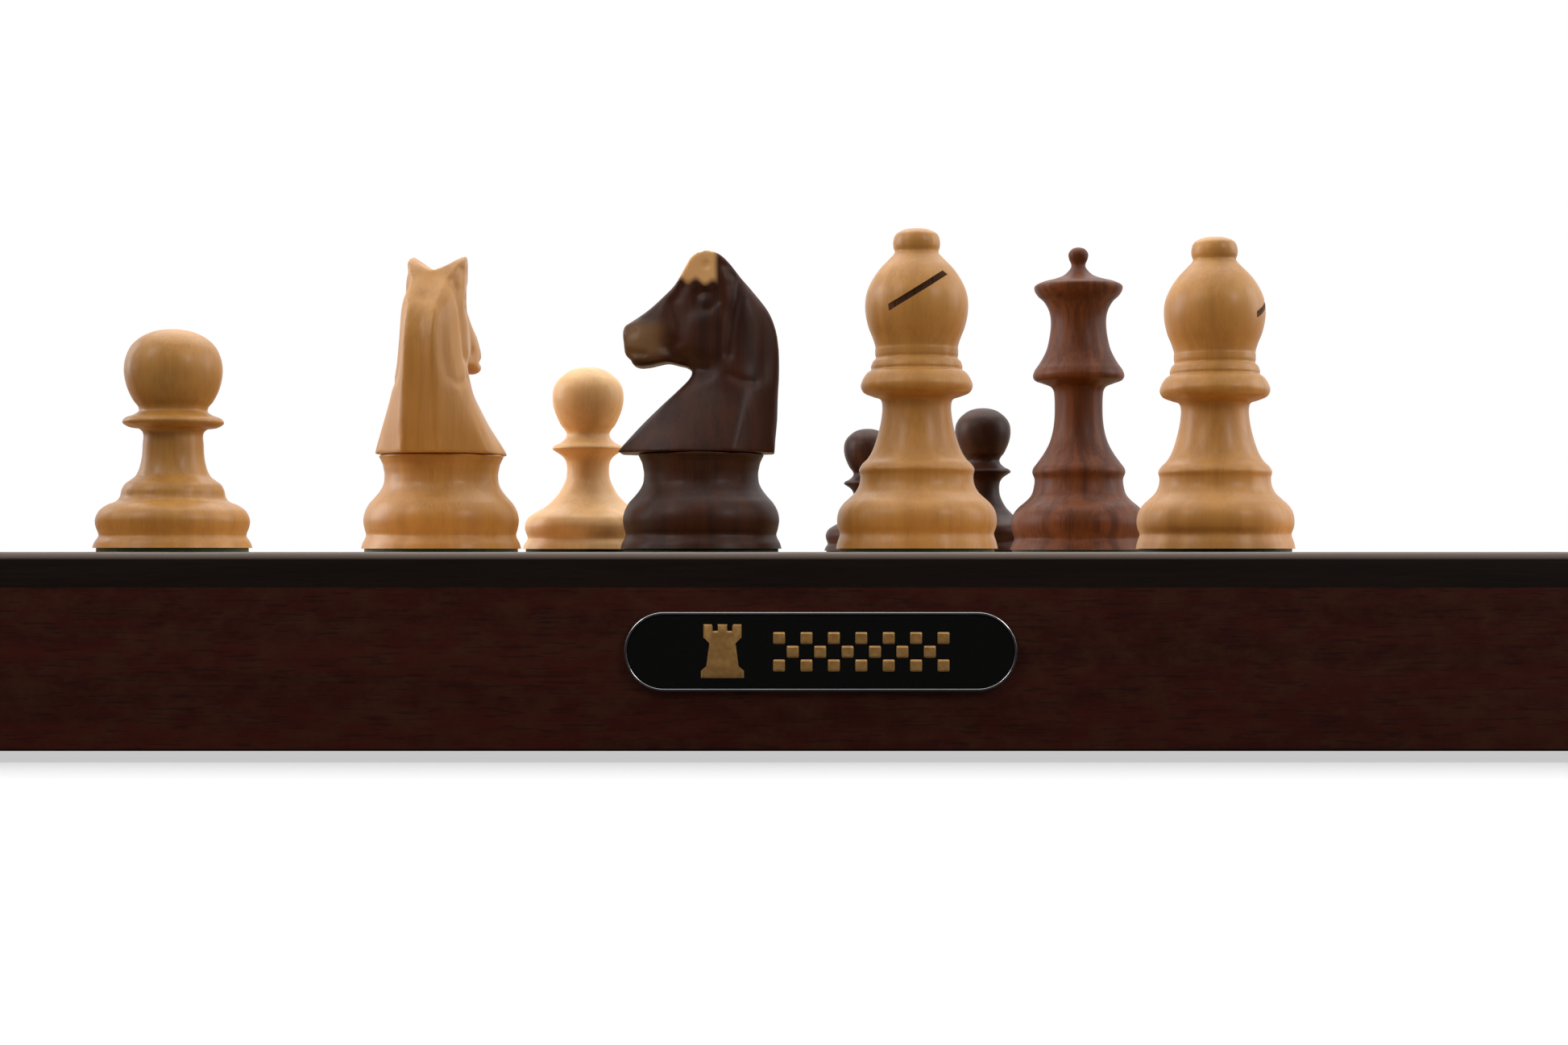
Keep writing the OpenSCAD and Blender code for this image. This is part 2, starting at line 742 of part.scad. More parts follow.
bishop = [
    [17.3, 0.8], [17, 2.2], [16.5, 3.7], [16.5, 4.2], [17, 5.6], [17.1, 7.2], [16.7, 9],
    [15.7, 10.5], [14.3, 11.8], [13.1, 13], [12.3, 14.6], [12.1, 16.4], [12.35, 17.7], [11.7, 18.9],
    [10.6, 20], [9.5, 21.8], [8.4, 25], [7.6, 28.6], [7.4, 31.6], [7.8, 32.8], [9.4, 33.4],
    [11.4, 34.3], [12, 35.6], [11.5, 37.2], [10.6, 38.5], [9.8, 39.1], [9.8, 39.8], [9.4, 40.9],
    [8.8, 41.6], [8.9, 42.4], [8.9, 43.4], [8.85, 44], [9.4, 45.9], [10.3, 48.2], [10.9, 50.8],
    [11.05, 53.2], [10.7, 55.7], [9.6, 58.3], [7.9, 60.8], [6, 62.8], [4.9, 64], [4.7, 64.5],
    [5, 65.6], [5, 66.9], [4.5, 68.2], [2.7, 69.2], [0, 69.5]
];
queen = [
    [19.1, 0.8], [18.6, 2.2], [17.9, 3.7], [17.9, 4.3], [18.5, 6.2], [18.7, 8.4], [18, 10.8],
    [16.6, 12.6], [14.6, 14.3], [13.1, 16], [12.4, 18.2], [12.2, 20.4], [12.8, 22.2], [12.6, 23.3],
    [11.4, 25], [9.7, 27.4], [8.2, 30.2], [7.2, 33.4], [6.7, 37], [6.6, 41], [6.7, 43.6],
    [6.9, 44.9], [7.6, 46], [9.9, 47], [12.1, 47.9], [12.6, 49], [12.1, 50.6], [11, 52.2],
    [9.8, 54.2], [8.8, 56.4], [8.2, 58.8], [7.7, 62.2], [7.7, 65.2], [8.3, 67.6], [9.6, 69.8],
    [11.2, 71.3], [12.1, 72.8], [12.1, 73.9], [10.4, 74.9], [6.8, 75.9], [4.2, 76.9], [2.8, 78.1],
    [2, 79.3], [2, 80.1], [2.6, 81.6], [2.7, 83], [1.7, 84.3], [0, 84.8]
];
king = [
    [19.3, 0.8], [18.8, 2.2], [18.1, 3.7], [18.1, 4.3], [18.7, 6.4], [18.9, 8.8], [18.2, 11.2],
    [16.8, 13], [14.8, 14.8], [13.4, 16.6], [12.7, 19], [12.5, 21.2], [13.1, 23], [12.9, 24.1],
    [11.7, 26], [10, 28.6], [8.5, 31.6], [7.5, 35], [7, 39], [6.9, 43.6], [7.3, 46.6], [8.9, 48],
    [11.8, 49.4], [13.1, 51], [12.7, 52.6], [11.3, 54.6], [9.6, 57.6], [8.7, 61], [8.6, 64.4],
    [9.2, 68], [10.8, 71.4], [12.6, 73.6], [12.9, 74.6], [12.2, 75.6], [9.8, 77.2], [7, 79],
    [4.4, 80.4], [3, 81.4], [2.5, 82.6], [2.4, 83.4], [0, 83.6]
];

// Side view of the horse, facing -X, and its front view, both as [across, height]; and half its
// plan as [x, y], broad at the chest below neck_h and narrow at the muzzle above it
neck_h = 39;
chest_plan = [[-18.6, 6], [-12, 11.4], [-6, 13.4], [9, 13], [13, 9.7], [17.2, 4.8]];
head_plan = [[-18.6, 4.1], [-12, 4.5], [-6, 4.9], [0, 6.1], [5, 7.2], [9, 7], [13, 5.7], [17.2, 3.7]];
horse_side = [
    [-17.3, 21.7], [-12.5, 27.1], [-8.2, 31.4], [-4.4, 35], [-1.8, 37.6], [-1.6, 39],
    [-4.4, 40], [-7, 40.7], [-11.1, 39.9], [-13.4, 39.8], [-15.1, 41.4], [-16.1, 42.3],
    [-16.7, 45], [-16.6, 47.6], [-14.9, 49.4], [-11.5, 51.8], [-8.2, 54.7], [-5.4, 57.5],
    [-3.5, 60.6], [-2, 63], [-0.4, 64.1], [1.3, 64.4], [3.4, 63.9], [5.6, 62.3], [8.4, 59],
    [11.7, 55.4], [14.6, 51.8], [16.2, 48], [16.9, 43.8], [17, 39], [16.7, 33.3], [16.5, 28.1],
    [16, 23.3], [15.5, 21], [-13, 21]
];
horse_front = [
    [-13.3, 20.9], [13.3, 20.9], [10.7, 28], [8.6, 34], [7.3, 40], [6.6, 47], [6.6, 54], [6.7, 60],
    [6.4, 63.2], [5.8, 64.2], [4.2, 62.4], [2, 60.9], [0, 60.4],
    [-2, 60.9], [-4.2, 62.4], [-5.8, 64.2], [-6.4, 63.2], [-6.7, 60], [-6.6, 54], [-6.6, 47],
    [-7.3, 40], [-8.6, 34], [-10.7, 28]
];

module turned(profile) {
    points = [for (p = smooth(profile)) [max(0, p.x), p.y]];
    rotate_extrude($fn = 96) polygon(concat([[0, profile[0].y]], points,
        points[len(points) - 1].x > 0 ? [[0, points[len(points) - 1].y]] : []));
}

// A turned foot with its weight and magnet let in from below and felt glued under it
module weighted(profile) {
    difference() {
        union() {
            turned(profile);
            children();
        }
        translate([0, 0, -1]) cylinder(r = weight_r + eps, h = 1 + felt_t + weight_h + eps);
    }
    translate([0, 0, felt_t]) cylinder(r = weight_r, h = weight_h);
    cylinder(r = profile[0].x - 0.7, h = felt_t - eps);
}

// Both sides of a half plan, from one height to another
module plan_block(plan, low, high) {
    translate([0, 0, low]) linear_extrude(high - low)
        polygon(concat(plan, [for (i = [len(plan) - 1 : -1 : 0]) [plan[i].x, -plan[i].y]]));
}

module horse() {
    intersection() {
        along_y(-14, 14) polygon(horse_side);
        along_x(40) polygon(horse_front);
        union() {
            plan_block(chest_plan, 20, neck_h);
            plan_block(head_plan, neck_h - eps, 66);
        }
    }
}

module knight() {
    weighted(knight_foot) horse();
}

// The bishop's saw cut faces -Y: its blade comes in from the mitre's face and stops inside it
saw_out = 11;
saw_stop = 7.8;
saw_height = 56.5;
saw_slope = 32;
saw_kerf = 1.3;
module bishop_piece() {
    difference() {
        weighted(bishop);
        translate([0, -saw_out, saw_height]) rotate([0, -saw_slope, 0])
            cube([24, 2 * (saw_out - saw_stop), saw_kerf], center = true);
    }
}

// Straight-armed cross standing on the king's crown
module king_piece() {
    weighted(king) {
        span([-1.5, -1.3, 83], [1.5, 1.3, 95]);
        span([-4.2, -1.3, 88], [4.2, 1.3, 91]);
    }
}

module stand_at(x, y, turn = 0) {
    translate([x, y, top + eps]) rotate([0, 0, turn]) children();
}

light_wood = "#c08a4e";
dark_wood = "#4a2818";

module light_pawn_front() {
    color(light_wood) stand_at(-122.5, -177.5) weighted(stout_pawn);
}

module light_pawn_rear() {
    color(light_wood) stand_at(-50.9, -87.7) weighted(slim_pawn);
}

module light_knight() {
    color(light_wood) stand_at(-80.9, -111.5, -99) knight();
}

module light_bishop_left() {
    color(light_wood) stand_at(22.3, -120.5, 9) bishop_piece();
}

module light_bishop_right() {
    color(light_wood) stand_at(88.7, -107, 90) bishop_piece();
}

module light_king() {
    color(light_wood) stand_at(-179, -175) king_piece();
}

module dark_pawn_left() {
    color(dark_wood) stand_at(22.3, 178) weighted(slim_pawn);
}

module dark_pawn_right() {
    color(dark_wood) stand_at(51.9, 64) weighted(slim_pawn);
}

module dark_knight() {
    color(dark_wood) stand_at(-24, -118.7) knight();
}

module dark_queen() {
    color(dark_wood) stand_at(75.5, 28.5) weighted(queen);
}

module dark_king() {
    color(dark_wood) stand_at(177, -175) king_piece();
}

// ---------------------------------------------------------------- nodes

rail_front();
rail_left();
rail_right();
rail_rear();
corner_blocks();
top_panel();
light_squares();
dark_squares();
square_leds();
sensor_board();
reed_switches();
board_spacers();
bottom_cover();
screws();
rubber_feet();
badge_plate();
badge_rim();
badge_emblem();
bay_guides();
backplane_board();
ribbon_cable();
sounder();
power_socket();
switch_housing();
power_switch();
battery_box();
battery_cells();
battery_contacts();
battery_door();
display_case();
display_lid();
display_window();
display_panel();
display_board();
key_case();
key_lid();
key_mat();
key_board();
key_cap(1);  // key_1
key_cap(2);  // key_2
key_cap(3);  // key_3
key_cap(4);  // key_4
key_cap(5);  // key_5
key_cap(6);  // key_6
key_cap(7);  // key_7
key_cap(8);  // key_8
program_case();
program_lid();
program_board();
light_pawn_front();
light_pawn_rear();
light_knight();
light_bishop_left();
light_bishop_right();
light_king();
dark_pawn_left();
dark_pawn_right();
dark_knight();
dark_queen();
dark_king();
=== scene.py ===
"""Looks of an electronic chess computer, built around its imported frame.

The wooden board, its badge, the plug-in modules in its rear rail and the pieces standing on it are each a
class below. Every size is in millimetres until it reaches a mesh, and every place is worked out from the
frame's own boxes.
"""

import logging
import math
from dataclasses import dataclass, field
from enum import Enum
from itertools import product
from typing import Callable, Dict, List, Optional, Sequence, Tuple, Union

import bmesh
import bpy
import numpy as np
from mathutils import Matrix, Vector


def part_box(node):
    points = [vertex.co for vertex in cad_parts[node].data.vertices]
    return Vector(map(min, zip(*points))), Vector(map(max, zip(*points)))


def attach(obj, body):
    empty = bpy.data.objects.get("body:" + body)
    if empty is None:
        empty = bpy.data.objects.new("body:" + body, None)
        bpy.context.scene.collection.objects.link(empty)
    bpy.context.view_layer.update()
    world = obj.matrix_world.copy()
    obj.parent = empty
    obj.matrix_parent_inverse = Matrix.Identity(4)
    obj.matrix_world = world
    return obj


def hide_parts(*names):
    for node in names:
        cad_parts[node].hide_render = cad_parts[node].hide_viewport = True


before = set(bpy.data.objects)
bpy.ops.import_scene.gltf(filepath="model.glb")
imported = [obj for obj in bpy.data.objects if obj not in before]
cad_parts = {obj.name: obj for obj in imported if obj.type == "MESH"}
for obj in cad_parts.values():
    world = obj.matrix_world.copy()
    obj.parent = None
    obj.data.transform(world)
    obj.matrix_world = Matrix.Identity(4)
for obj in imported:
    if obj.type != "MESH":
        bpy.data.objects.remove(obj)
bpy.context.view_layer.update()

LOG = logging.getLogger("chess_computer")
MM = 0.001
# Edges that bend more than this many degrees stay sharp: on most pieces, and on the rounded border.
CREASE = 35.0
SOFT_CREASE = 50.0
# Smallest radius of a round corner, and how far apart surfaces that would touch are kept, in millimetres.
LEAST_RADIUS = 0.01
HAIR = 0.01
WHITE = (1.0, 1.0, 1.0, 1.0)

Colour = Tuple[float, float, float, float]
Socket = bpy.types.NodeSocket
# What may feed a node's input: a socket, or a node for its first output.
Source = Union[bpy.types.NodeSocket, bpy.types.Node]
Outline = Callable[[float], np.ndarray]


# ------------------------------------------------------------------ places taken from the frame


def box_mm(node: str) -> Tuple[np.ndarray, np.ndarray]:
    """Lowest and highest corner of a frame node, in millimetres.

    Args:
        node: The node's name.

    Returns:
        Two arrays of x, y, z.
    """
    low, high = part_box(node)
    return np.array(low) / MM, np.array(high) / MM


# ------------------------------------------------------------------ shells worked out with numpy


@dataclass
class Shell:
    """A surface as points and faces, before it becomes a piece.

    Attributes:
        points: Array of x, y, z in millimetres, one row for each point.
        faces: Arrays of point numbers, each with one row for each face.
    """

    points: np.ndarray
    faces: List[np.ndarray]

    def moved(self, x: float, y: float, z: float, turn: float = 0.0) -> "Shell":
        """The same shell turned about +Z, by degrees, and then moved."""
        c, s = math.cos(math.radians(turn)), math.sin(math.radians(turn))
        spin = np.array([[c, -s, 0.0], [s, c, 0.0], [0.0, 0.0, 1.0]])
        return Shell(self.points @ spin.T + np.array([x, y, z]), self.faces)

    def __add__(self, other: "Shell") -> "Shell":
        """Both shells as one, side by side."""
        shifted = [f + len(self.points) for f in other.faces]
        return Shell(np.vstack([self.points, other.points]), self.faces + shifted)


def spline(points: Sequence[Sequence[float]], steps: int) -> np.ndarray:
    """Centripetal Catmull-Rom curve through points, which never loops where they are unevenly spaced.

    Each stretch blends its four nearest points linearly three times over, with knots spaced by the square
    root of the distance between points.

    Args:
        points: The points, in order.
        steps: How many points to put on each stretch.

    Returns:
        Array of points on the curve, ending at the last point given.
    """
    p = np.asarray(points, float)
    p = np.vstack([2 * p[0] - p[1], p, 2 * p[-1] - p[-2]])
    gaps = np.maximum(np.linalg.norm(np.diff(p, axis=0), axis=1), 1e-6) ** 0.5
    knots = np.concatenate([[0.0], np.cumsum(gaps)])
    k = [knots[i : len(knots) - 3 + i, None, None] for i in range(4)]
    q = [p[i : len(p) - 3 + i, None, :] for i in range(4)]
    t = k[1] + (k[2] - k[1]) * np.linspace(0, 1, steps, endpoint=False)[None, :, None]

    def blend(a: np.ndarray, b: np.ndarray, start: np.ndarray, end: np.ndarray) -> np.ndarray:
        """Point between a and b at t, which is a at its start and b at its end."""
        return ((end - t) * a + (t - start) * b) / (end - start)

    first = [blend(q[i], q[i + 1], k[i], k[i + 1]) for i in range(3)]
    second = [blend(first[i], first[i + 1], k[i], k[i + 2]) for i in range(2)]
    curve = blend(second[0], second[1], k[1], k[2]).reshape(-1, p.shape[1])
    return np.vstack([curve, p[-2]])


def grid_faces(rows: int, columns: int, wrap_rows: bool = False) -> np.ndarray:
    """Quads joining a grid of points whose columns close on themselves.

    Args:
        rows: Rows of points.
        columns: Points in each row.
        wrap_rows: Whether the last row joins the first.

    Returns:
        Array of four point numbers for each quad.
    """
    last = rows if wrap_rows else rows - 1
    r, c = np.meshgrid(np.arange(last), np.arange(columns), indexing="ij")
    below, above, right = r * columns, ((r + 1) % rows) * columns, (c + 1) % columns
    return np.stack([below + c, below + right, above + right, above + c], axis=-1).reshape(-1, 4)


def lathe(profile: np.ndarray, segments: int) -> Shell:
    """A turned solid: point (r, z) of the profile at angle a lies at (r cos a, r sin a, z).

    Args:
        profile: Array of radius and height from the bottom up, with both ends on the axis.
        segments: Sides of each ring.

    Returns:
        A closed shell with one point at each pole.
    """
    rings = profile[1:-1]
    a = np.linspace(0, 2 * math.pi, segments, endpoint=False)
    radius, height = rings[:, :1], np.broadcast_to(rings[:, 1:], (len(rings), segments))
    points = np.stack([radius * np.cos(a), radius * np.sin(a), height], axis=-1).reshape(-1, 3)
    poles = np.array([[0, 0, profile[0, 1]], [0, 0, profile[-1, 1]]])
    low, high = len(points), len(points) + 1
    ring = np.arange(segments)
    after = (ring + 1) % segments
    top = (len(rings) - 1) * segments
    return Shell(np.vstack([points, poles]), [
        grid_faces(len(rings), segments),
        np.stack([after, ring, np.full(segments, low)], axis=-1),
        np.stack([top + ring, top + after, np.full(segments, high)], axis=-1),
    ])


def level_loops(outline: Outline, rows: Sequence[Tuple[float, float]]) -> Tuple[np.ndarray, int]:
    """Points of level outlines, each at its own inset and height.

    Args:
        outline: Gives the outline's points for an inset, counter-clockwise.
        rows: Inset and height of each outline.

    Returns:
        Array of x, y, z, one outline after another, and how many points each has.
    """
    loops = [outline(inset) for inset, _ in rows]
    points = [np.column_stack([loop, np.full(len(loop), z)]) for loop, (_, z) in zip(loops, rows)]
    return np.vstack(points), len(loops[0])


def stack(outline: Outline, rows: Sequence[Tuple[float, float]]) -> Shell:
    """A solid built of level outlines, one above another, closed by a flat face at each end.

    Args:
        outline: Gives the outline's points for an inset, counter-clockwise.
        rows: Inset and height of each outline, from the bottom up.

    Returns:
        A closed shell standing along +Z.
    """
    points, count = level_loops(outline, rows)
    first, last = np.arange(count), np.arange(count) + (len(rows) - 1) * count
    return Shell(points, [grid_faces(len(rows), count), first[None, ::-1], last[None, :]])


def hoop(outline: Outline, section: Sequence[Tuple[float, float]]) -> Shell:
    """A closed section carried round an outline, as a picture frame's moulding is.

    Args:
        outline: Gives the outline's points for an inset, counter-clockwise.
        section: Inset and height of the section's points, in order up the outside.

    Returns:
        A closed ring-shaped shell.
    """
    points, count = level_loops(outline, section)
    return Shell(points, [grid_faces(len(section), count, wrap_rows=True)])


def rounded_rectangle(half_x: float, half_y: float, radius: float, arc: int = 6) -> Outline:
    """Outline maker for a rectangle with round corners, whose radius shrinks with the inset.

    Args:
        half_x: Half the length along x.
        half_y: Half the length along y.
        radius: Radius of the corners.
        arc: Points on each corner.

    Returns:
        Function from inset to points, counter-clockwise.
    """
    a = np.linspace(0, math.pi / 2, arc)
    corners = np.repeat(np.array([[1, 1], [-1, 1], [-1, -1], [1, -1]]), arc, axis=0)
    turns = (a[None, :] + np.arange(4)[:, None] * math.pi / 2).ravel()

    def outline(inset: float) -> np.ndarray:
        """Points of the rectangle at an inset: each corner's middle, and a quarter circle round it."""
        r = max(radius - inset, LEAST_RADIUS)
        centre = corners * np.array([half_x - inset - r, half_y - inset - r])
        return centre + r * np.stack([np.cos(turns), np.sin(turns)], axis=-1)

    return outline


def round_over(height: float, radius: float, steps: int = 4) -> List[Tuple[float, float]]:
    """Rows for stack() that round off a top edge: a quarter circle from the side to the top.

    Args:
        height: Height of the flat top.
        radius: Radius of the rounding.
        steps: Rows on the quarter circle, less one.

    Returns:
        Inset and height of each row, from the bottom up.
    """
    a = np.linspace(0, math.pi / 2, steps + 1)
    return [(radius * (1 - math.cos(t)), height - radius * (1 - math.sin(t))) for t in a]


def upright(shell: Shell, y: float, z: float, x: float = 0.0, facing: int = -1) -> Shell:
    """Stands a shell made along +Z on a vertical wall that faces -Y or +Y.

    Args:
        shell: Shell whose +Z is to point out of the wall.
        y: Where the wall's face is.
        z: Height of the shell's middle.
        x: Place along the wall.
        facing: -1 for a wall facing -Y, 1 for one facing +Y.

    Returns:
        The shell in the frame's axes.
    """
    p = shell.points
    placed = np.column_stack([-facing * p[:, 0] + x, facing * p[:, 2] + y, p[:, 1] + z])
    return Shell(placed, shell.faces)


def pierced_tiles(centres: np.ndarray, side: float, hole: Tuple[float, float, float],
                  low: float, high: float, sides: int = 24) -> Shell:
    """Square tiles, each with one round hole through it.

    Every ray from the hole's middle meets the hole at its radius and the tile at its edge, and the tile's
    four corners have rays of their own.

    Args:
        centres: Array of x, y, one row for each tile.
        side: Side of a tile.
        hole: The hole's x and y from the tile's middle, and its radius.
        low: Height of the undersides.
        high: Height of the upper sides.
        sides: Sides of the hole, apart from those that the corners add.

    Returns:
        Closed shells, one for each tile.
    """
    spot, half = np.array(hole[:2]), side / 2
    corners = half * np.array([[1, 1], [-1, 1], [-1, -1], [1, -1]]) - spot
    angles = np.concatenate([np.linspace(0, 2 * math.pi, sides, endpoint=False),
                             np.arctan2(corners[:, 1], corners[:, 0])])
    angles = np.unique(np.round(angles % (2 * math.pi), 9))
    ray = np.stack([np.cos(angles), np.sin(angles)], axis=-1)
    with np.errstate(divide="ignore"):
        reach = np.where(ray > 0, (half - spot) / ray, (-half - spot) / ray)
    edge = spot + ray * np.min(np.where(np.abs(ray) > 1e-9, reach, np.inf), axis=1)[:, None]
    inner = spot + ray * hole[2]
    loops = [(edge, low), (edge, high), (inner, high), (inner, low)]
    tile = np.vstack([np.column_stack([loop, np.full(len(loop), z)]) for loop, z in loops])
    place = np.column_stack([centres, np.zeros(len(centres))])
    points = (place[:, None, :] + tile[None]).reshape(-1, 3)
    faces = grid_faces(len(loops), len(angles), wrap_rows=True)
    shifts = np.arange(len(centres))[:, None, None] * len(tile)
    return Shell(points, [(faces[None] + shifts).reshape(-1, 4)])


def surface_net(values: np.ndarray, low: np.ndarray, pitch: float) -> Shell:
    """The surface where a field on a regular grid is zero, negative inside.

    Each cell that the surface crosses gets one point, the mean of its crossings of the cell's edges, and
    each grid edge that it crosses gets one quad joining the four cells round that edge.

    Args:
        values: The field, indexed by x, y and z.
        low: Place of the grid's first point.
        pitch: Distance between grid points.

    Returns:
        A closed shell of quads.
    """
    cells = np.array(values.shape) - 1
    total, count = np.zeros((*cells, 3)), np.zeros(cells)

    def corner(offset: Sequence[int]) -> np.ndarray:
        """The field at one corner of every cell."""
        return values[tuple(slice(o, o + n) for o, n in zip(offset, cells))]

    for axis, sides in product(range(3), product((0, 1), repeat=2)):
        start = list(sides[:axis]) + [0] + list(sides[axis:])
        unit = np.eye(3)[axis]
        a, b = corner(start), corner([int(s + u) for s, u in zip(start, unit)])
        crossed = (a < 0) != (b < 0)
        share = np.where(crossed, a / np.where(crossed, a - b, 1), 0)
        total += crossed[..., None] * (np.array(start) + share[..., None] * unit)
        count += crossed
    active = count > 0
    number = np.full(cells, -1)
    number[active] = np.arange(active.sum())
    points = low + pitch * (np.argwhere(active) + total[active] / count[active][:, None])
    quads = []
    for axis in range(3):
        u, v = (axis + 1) % 3, (axis + 2) % 3
        here, there = [slice(None)] * 3, [slice(None)] * 3
        here[axis], there[axis] = slice(0, -1), slice(1, None)
        rising = (values[tuple(here)] < 0).astype(int) - (values[tuple(there)] < 0)
        spots = np.argwhere(rising != 0)
        spots = spots[np.all([spots[:, w] > 0 for w in (u, v)], axis=0)]
        ways = rising[tuple(spots.T)]
        around = []
        for du, dv in ((1, 1), (0, 1), (0, 0), (1, 0)):
            cell = spots.copy()
            cell[:, u] -= du
            cell[:, v] -= dv
            around.append(number[tuple(cell.T)])
        quad = np.stack(around, axis=-1)
        quads.append(np.where((ways > 0)[:, None], quad, quad[:, ::-1]))
    return Shell(points, [np.vstack(quads)])


def relaxed(shell: Shell, rounds: int) -> Shell:
    """The shell after each point has moved half-way to the mean of its neighbours, several times.

    Args:
        shell: A shell of quads.
        rounds: How many times to move the points.

    Returns:
        The smoothed shell.
    """
    quads = np.vstack(shell.faces)
    start, end = quads.ravel(), np.roll(quads, -1, axis=1).ravel()
    degree = np.bincount(start, minlength=len(shell.points))[:, None]
    points = shell.points
    for _ in range(rounds):
        near = np.stack([np.bincount(start, points[end, i], len(points)) for i in range(3)], axis=-1)
        points = (points + near / degree) / 2
    return Shell(points, shell.faces)


# ------------------------------------------------------------------ pieces


def fill_mesh(name: str, shell: Shell, *materials: bpy.types.Material) -> bpy.types.Mesh:
    """Puts a shell's points and faces into a new mesh, in metres.

    Args:
        name: The mesh's name.
        shell: The surface, in millimetres.
        materials: Its materials.

    Returns:
        The mesh.
    """
    mesh = bpy.data.meshes.new(name)
    mesh.from_pydata((shell.points * MM).tolist(), [], [row for rows in shell.faces for row in rows.tolist()])
    for material in materials:
        mesh.materials.append(material)
    return mesh


def smooth(mesh: bpy.types.Mesh, crease: float = CREASE) -> None:
    """Shades a mesh smooth, apart from its edges that bend more than some degrees."""
    mesh.shade_smooth()
    mesh.set_sharp_from_angle(angle=math.radians(crease))


def add_object(name: str, data: bpy.types.ID) -> bpy.types.Object:
    """Adds an object to the scene, at the origin."""
    added = bpy.data.objects.new(name, data)
    bpy.context.scene.collection.objects.link(added)
    return added


def mesh_points(mesh: bpy.types.Mesh) -> np.ndarray:
    """A mesh's points as an array of x, y, z, in its own units."""
    flat = np.zeros(len(mesh.vertices) * 3)
    mesh.vertices.foreach_get("co", flat)
    return flat.reshape(-1, 3)


def evaluated_mesh(source: bpy.types.Object) -> bpy.types.Mesh:
    """A new mesh of an object as it looks with its modifiers, or of a text object as it is drawn."""
    bpy.context.view_layer.update()
    return bpy.data.meshes.new_from_object(source.evaluated_get(bpy.context.evaluated_depsgraph_get()))


def make_piece(name: str, shell: Shell, material: bpy.types.Material, body: str,
               replaces: Sequence[str] = (), crease: float = CREASE) -> bpy.types.Object:
    """Turns a shell into a finished piece of the object.

    Args:
        name: The piece's name.
        shell: Its surface, in millimetres, in the frame's axes.
        material: Its material.
        body: The body that it moves with.
        replaces: Frame nodes that it stands for.
        crease: Edges that bend more than this many degrees stay sharp.

    Returns:
        The piece's object, at the origin.
    """
    mesh = fill_mesh(name, shell, material)
    smooth(mesh, crease)
    piece = add_object(name, mesh)
    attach(piece, body)
    if replaces:
        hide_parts(*replaces)
    LOG.info("piece %s on %s, %d faces", name, body, len(mesh.polygons))
    return piece


def lettering(words: str, size: float, thickness: float) -> Shell:
    """Plain raised lettering that lies flat, with its middle over the origin and its back at height 0.

    Args:
        words: What it says.
        size: Height of its line.
        thickness: How far it is raised.

    Returns:
        The lettering as a closed shell.
    """
    curve = bpy.data.curves.new("lettering", "FONT")
    curve.body, curve.size, curve.extrude, curve.resolution_u = words, size, thickness / 2, 4
    curve.align_x = curve.align_y = "CENTER"
    holder = add_object("lettering", curve)
    mesh = evaluated_mesh(holder)
    bpy.data.objects.remove(holder)
    solid = bmesh.new()
    solid.from_mesh(mesh)
    bmesh.ops.remove_doubles(solid, verts=solid.verts, dist=thickness / 10)
    bmesh.ops.triangulate(solid, faces=solid.faces)
    bmesh.ops.recalc_face_normals(solid, faces=solid.faces)
    solid.to_mesh(mesh)
    solid.free()
    points, corners = mesh_points(mesh), np.zeros(len(mesh.loops), np.int32)
    mesh.loops.foreach_get("vertex_index", corners)
    bpy.data.meshes.remove(mesh)
    return Shell(points + [0, 0, thickness / 2], [corners.reshape(-1, 3)])


def finish_node(material: bpy.types.Material, *nodes: str) -> None:
    """Gives frame nodes that keep their own shape a material.

    Args:
        material: The material.
        nodes: The nodes' names.
    """
    for node in nodes:
        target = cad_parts[node]
        target.data.materials.clear()
        target.data.materials.append(material)
        LOG.info("node %s finished as %s", node, material.name)


def apply_cut(piece: bpy.types.Object, cutter: bpy.types.Object) -> None:
    """Cuts a closed shape out of a piece for good, and discards the cutter.

    Args:
        piece: The piece to cut.
        cutter: The closed shape.
    """
    cut = piece.modifiers.new("cut", "BOOLEAN")
    cut.operation = "DIFFERENCE"
    cut.solver = "EXACT"
    cut.object = cutter
    mesh = evaluated_mesh(piece)
    piece.modifiers.clear()
    piece.data = mesh
    smooth(mesh)
    bpy.data.objects.remove(cutter)


# ------------------------------------------------------------------ materials


def linear(hex_colour: str) -> Colour:
    """Linear colour of an sRGB hex value.

    Args:
        hex_colour: Six hex digits after a #.

    Returns:
        Red, green, blue and an alpha of 1.
    """
    channels = [int(hex_colour[i : i + 2], 16) / 255 for i in (1, 3, 5)]
    red, green, blue = (c / 12.92 if c <= 0.04045 else ((c + 0.055) / 1.055) ** 2.4 for c in channels)
    return red, green, blue, 1.0


def feed(tree: bpy.types.NodeTree, node: bpy.types.Node, inputs: Optional[Dict] = None,
         links: Optional[Dict] = None) -> None:
    """Sets a node's unlinked inputs and links the others.

    Args:
        tree: The node tree.
        node: The node.
        inputs: Value for each input, by name or number.
        links: What feeds each input, by name or number: a socket, or a node for its first output.
    """
    for key, value in (inputs or {}).items():
        node.inputs[key].default_value = value
    for key, source in (links or {}).items():
        output = source.outputs[0] if isinstance(source, bpy.types.Node) else source
        tree.links.new(output, node.inputs[key])


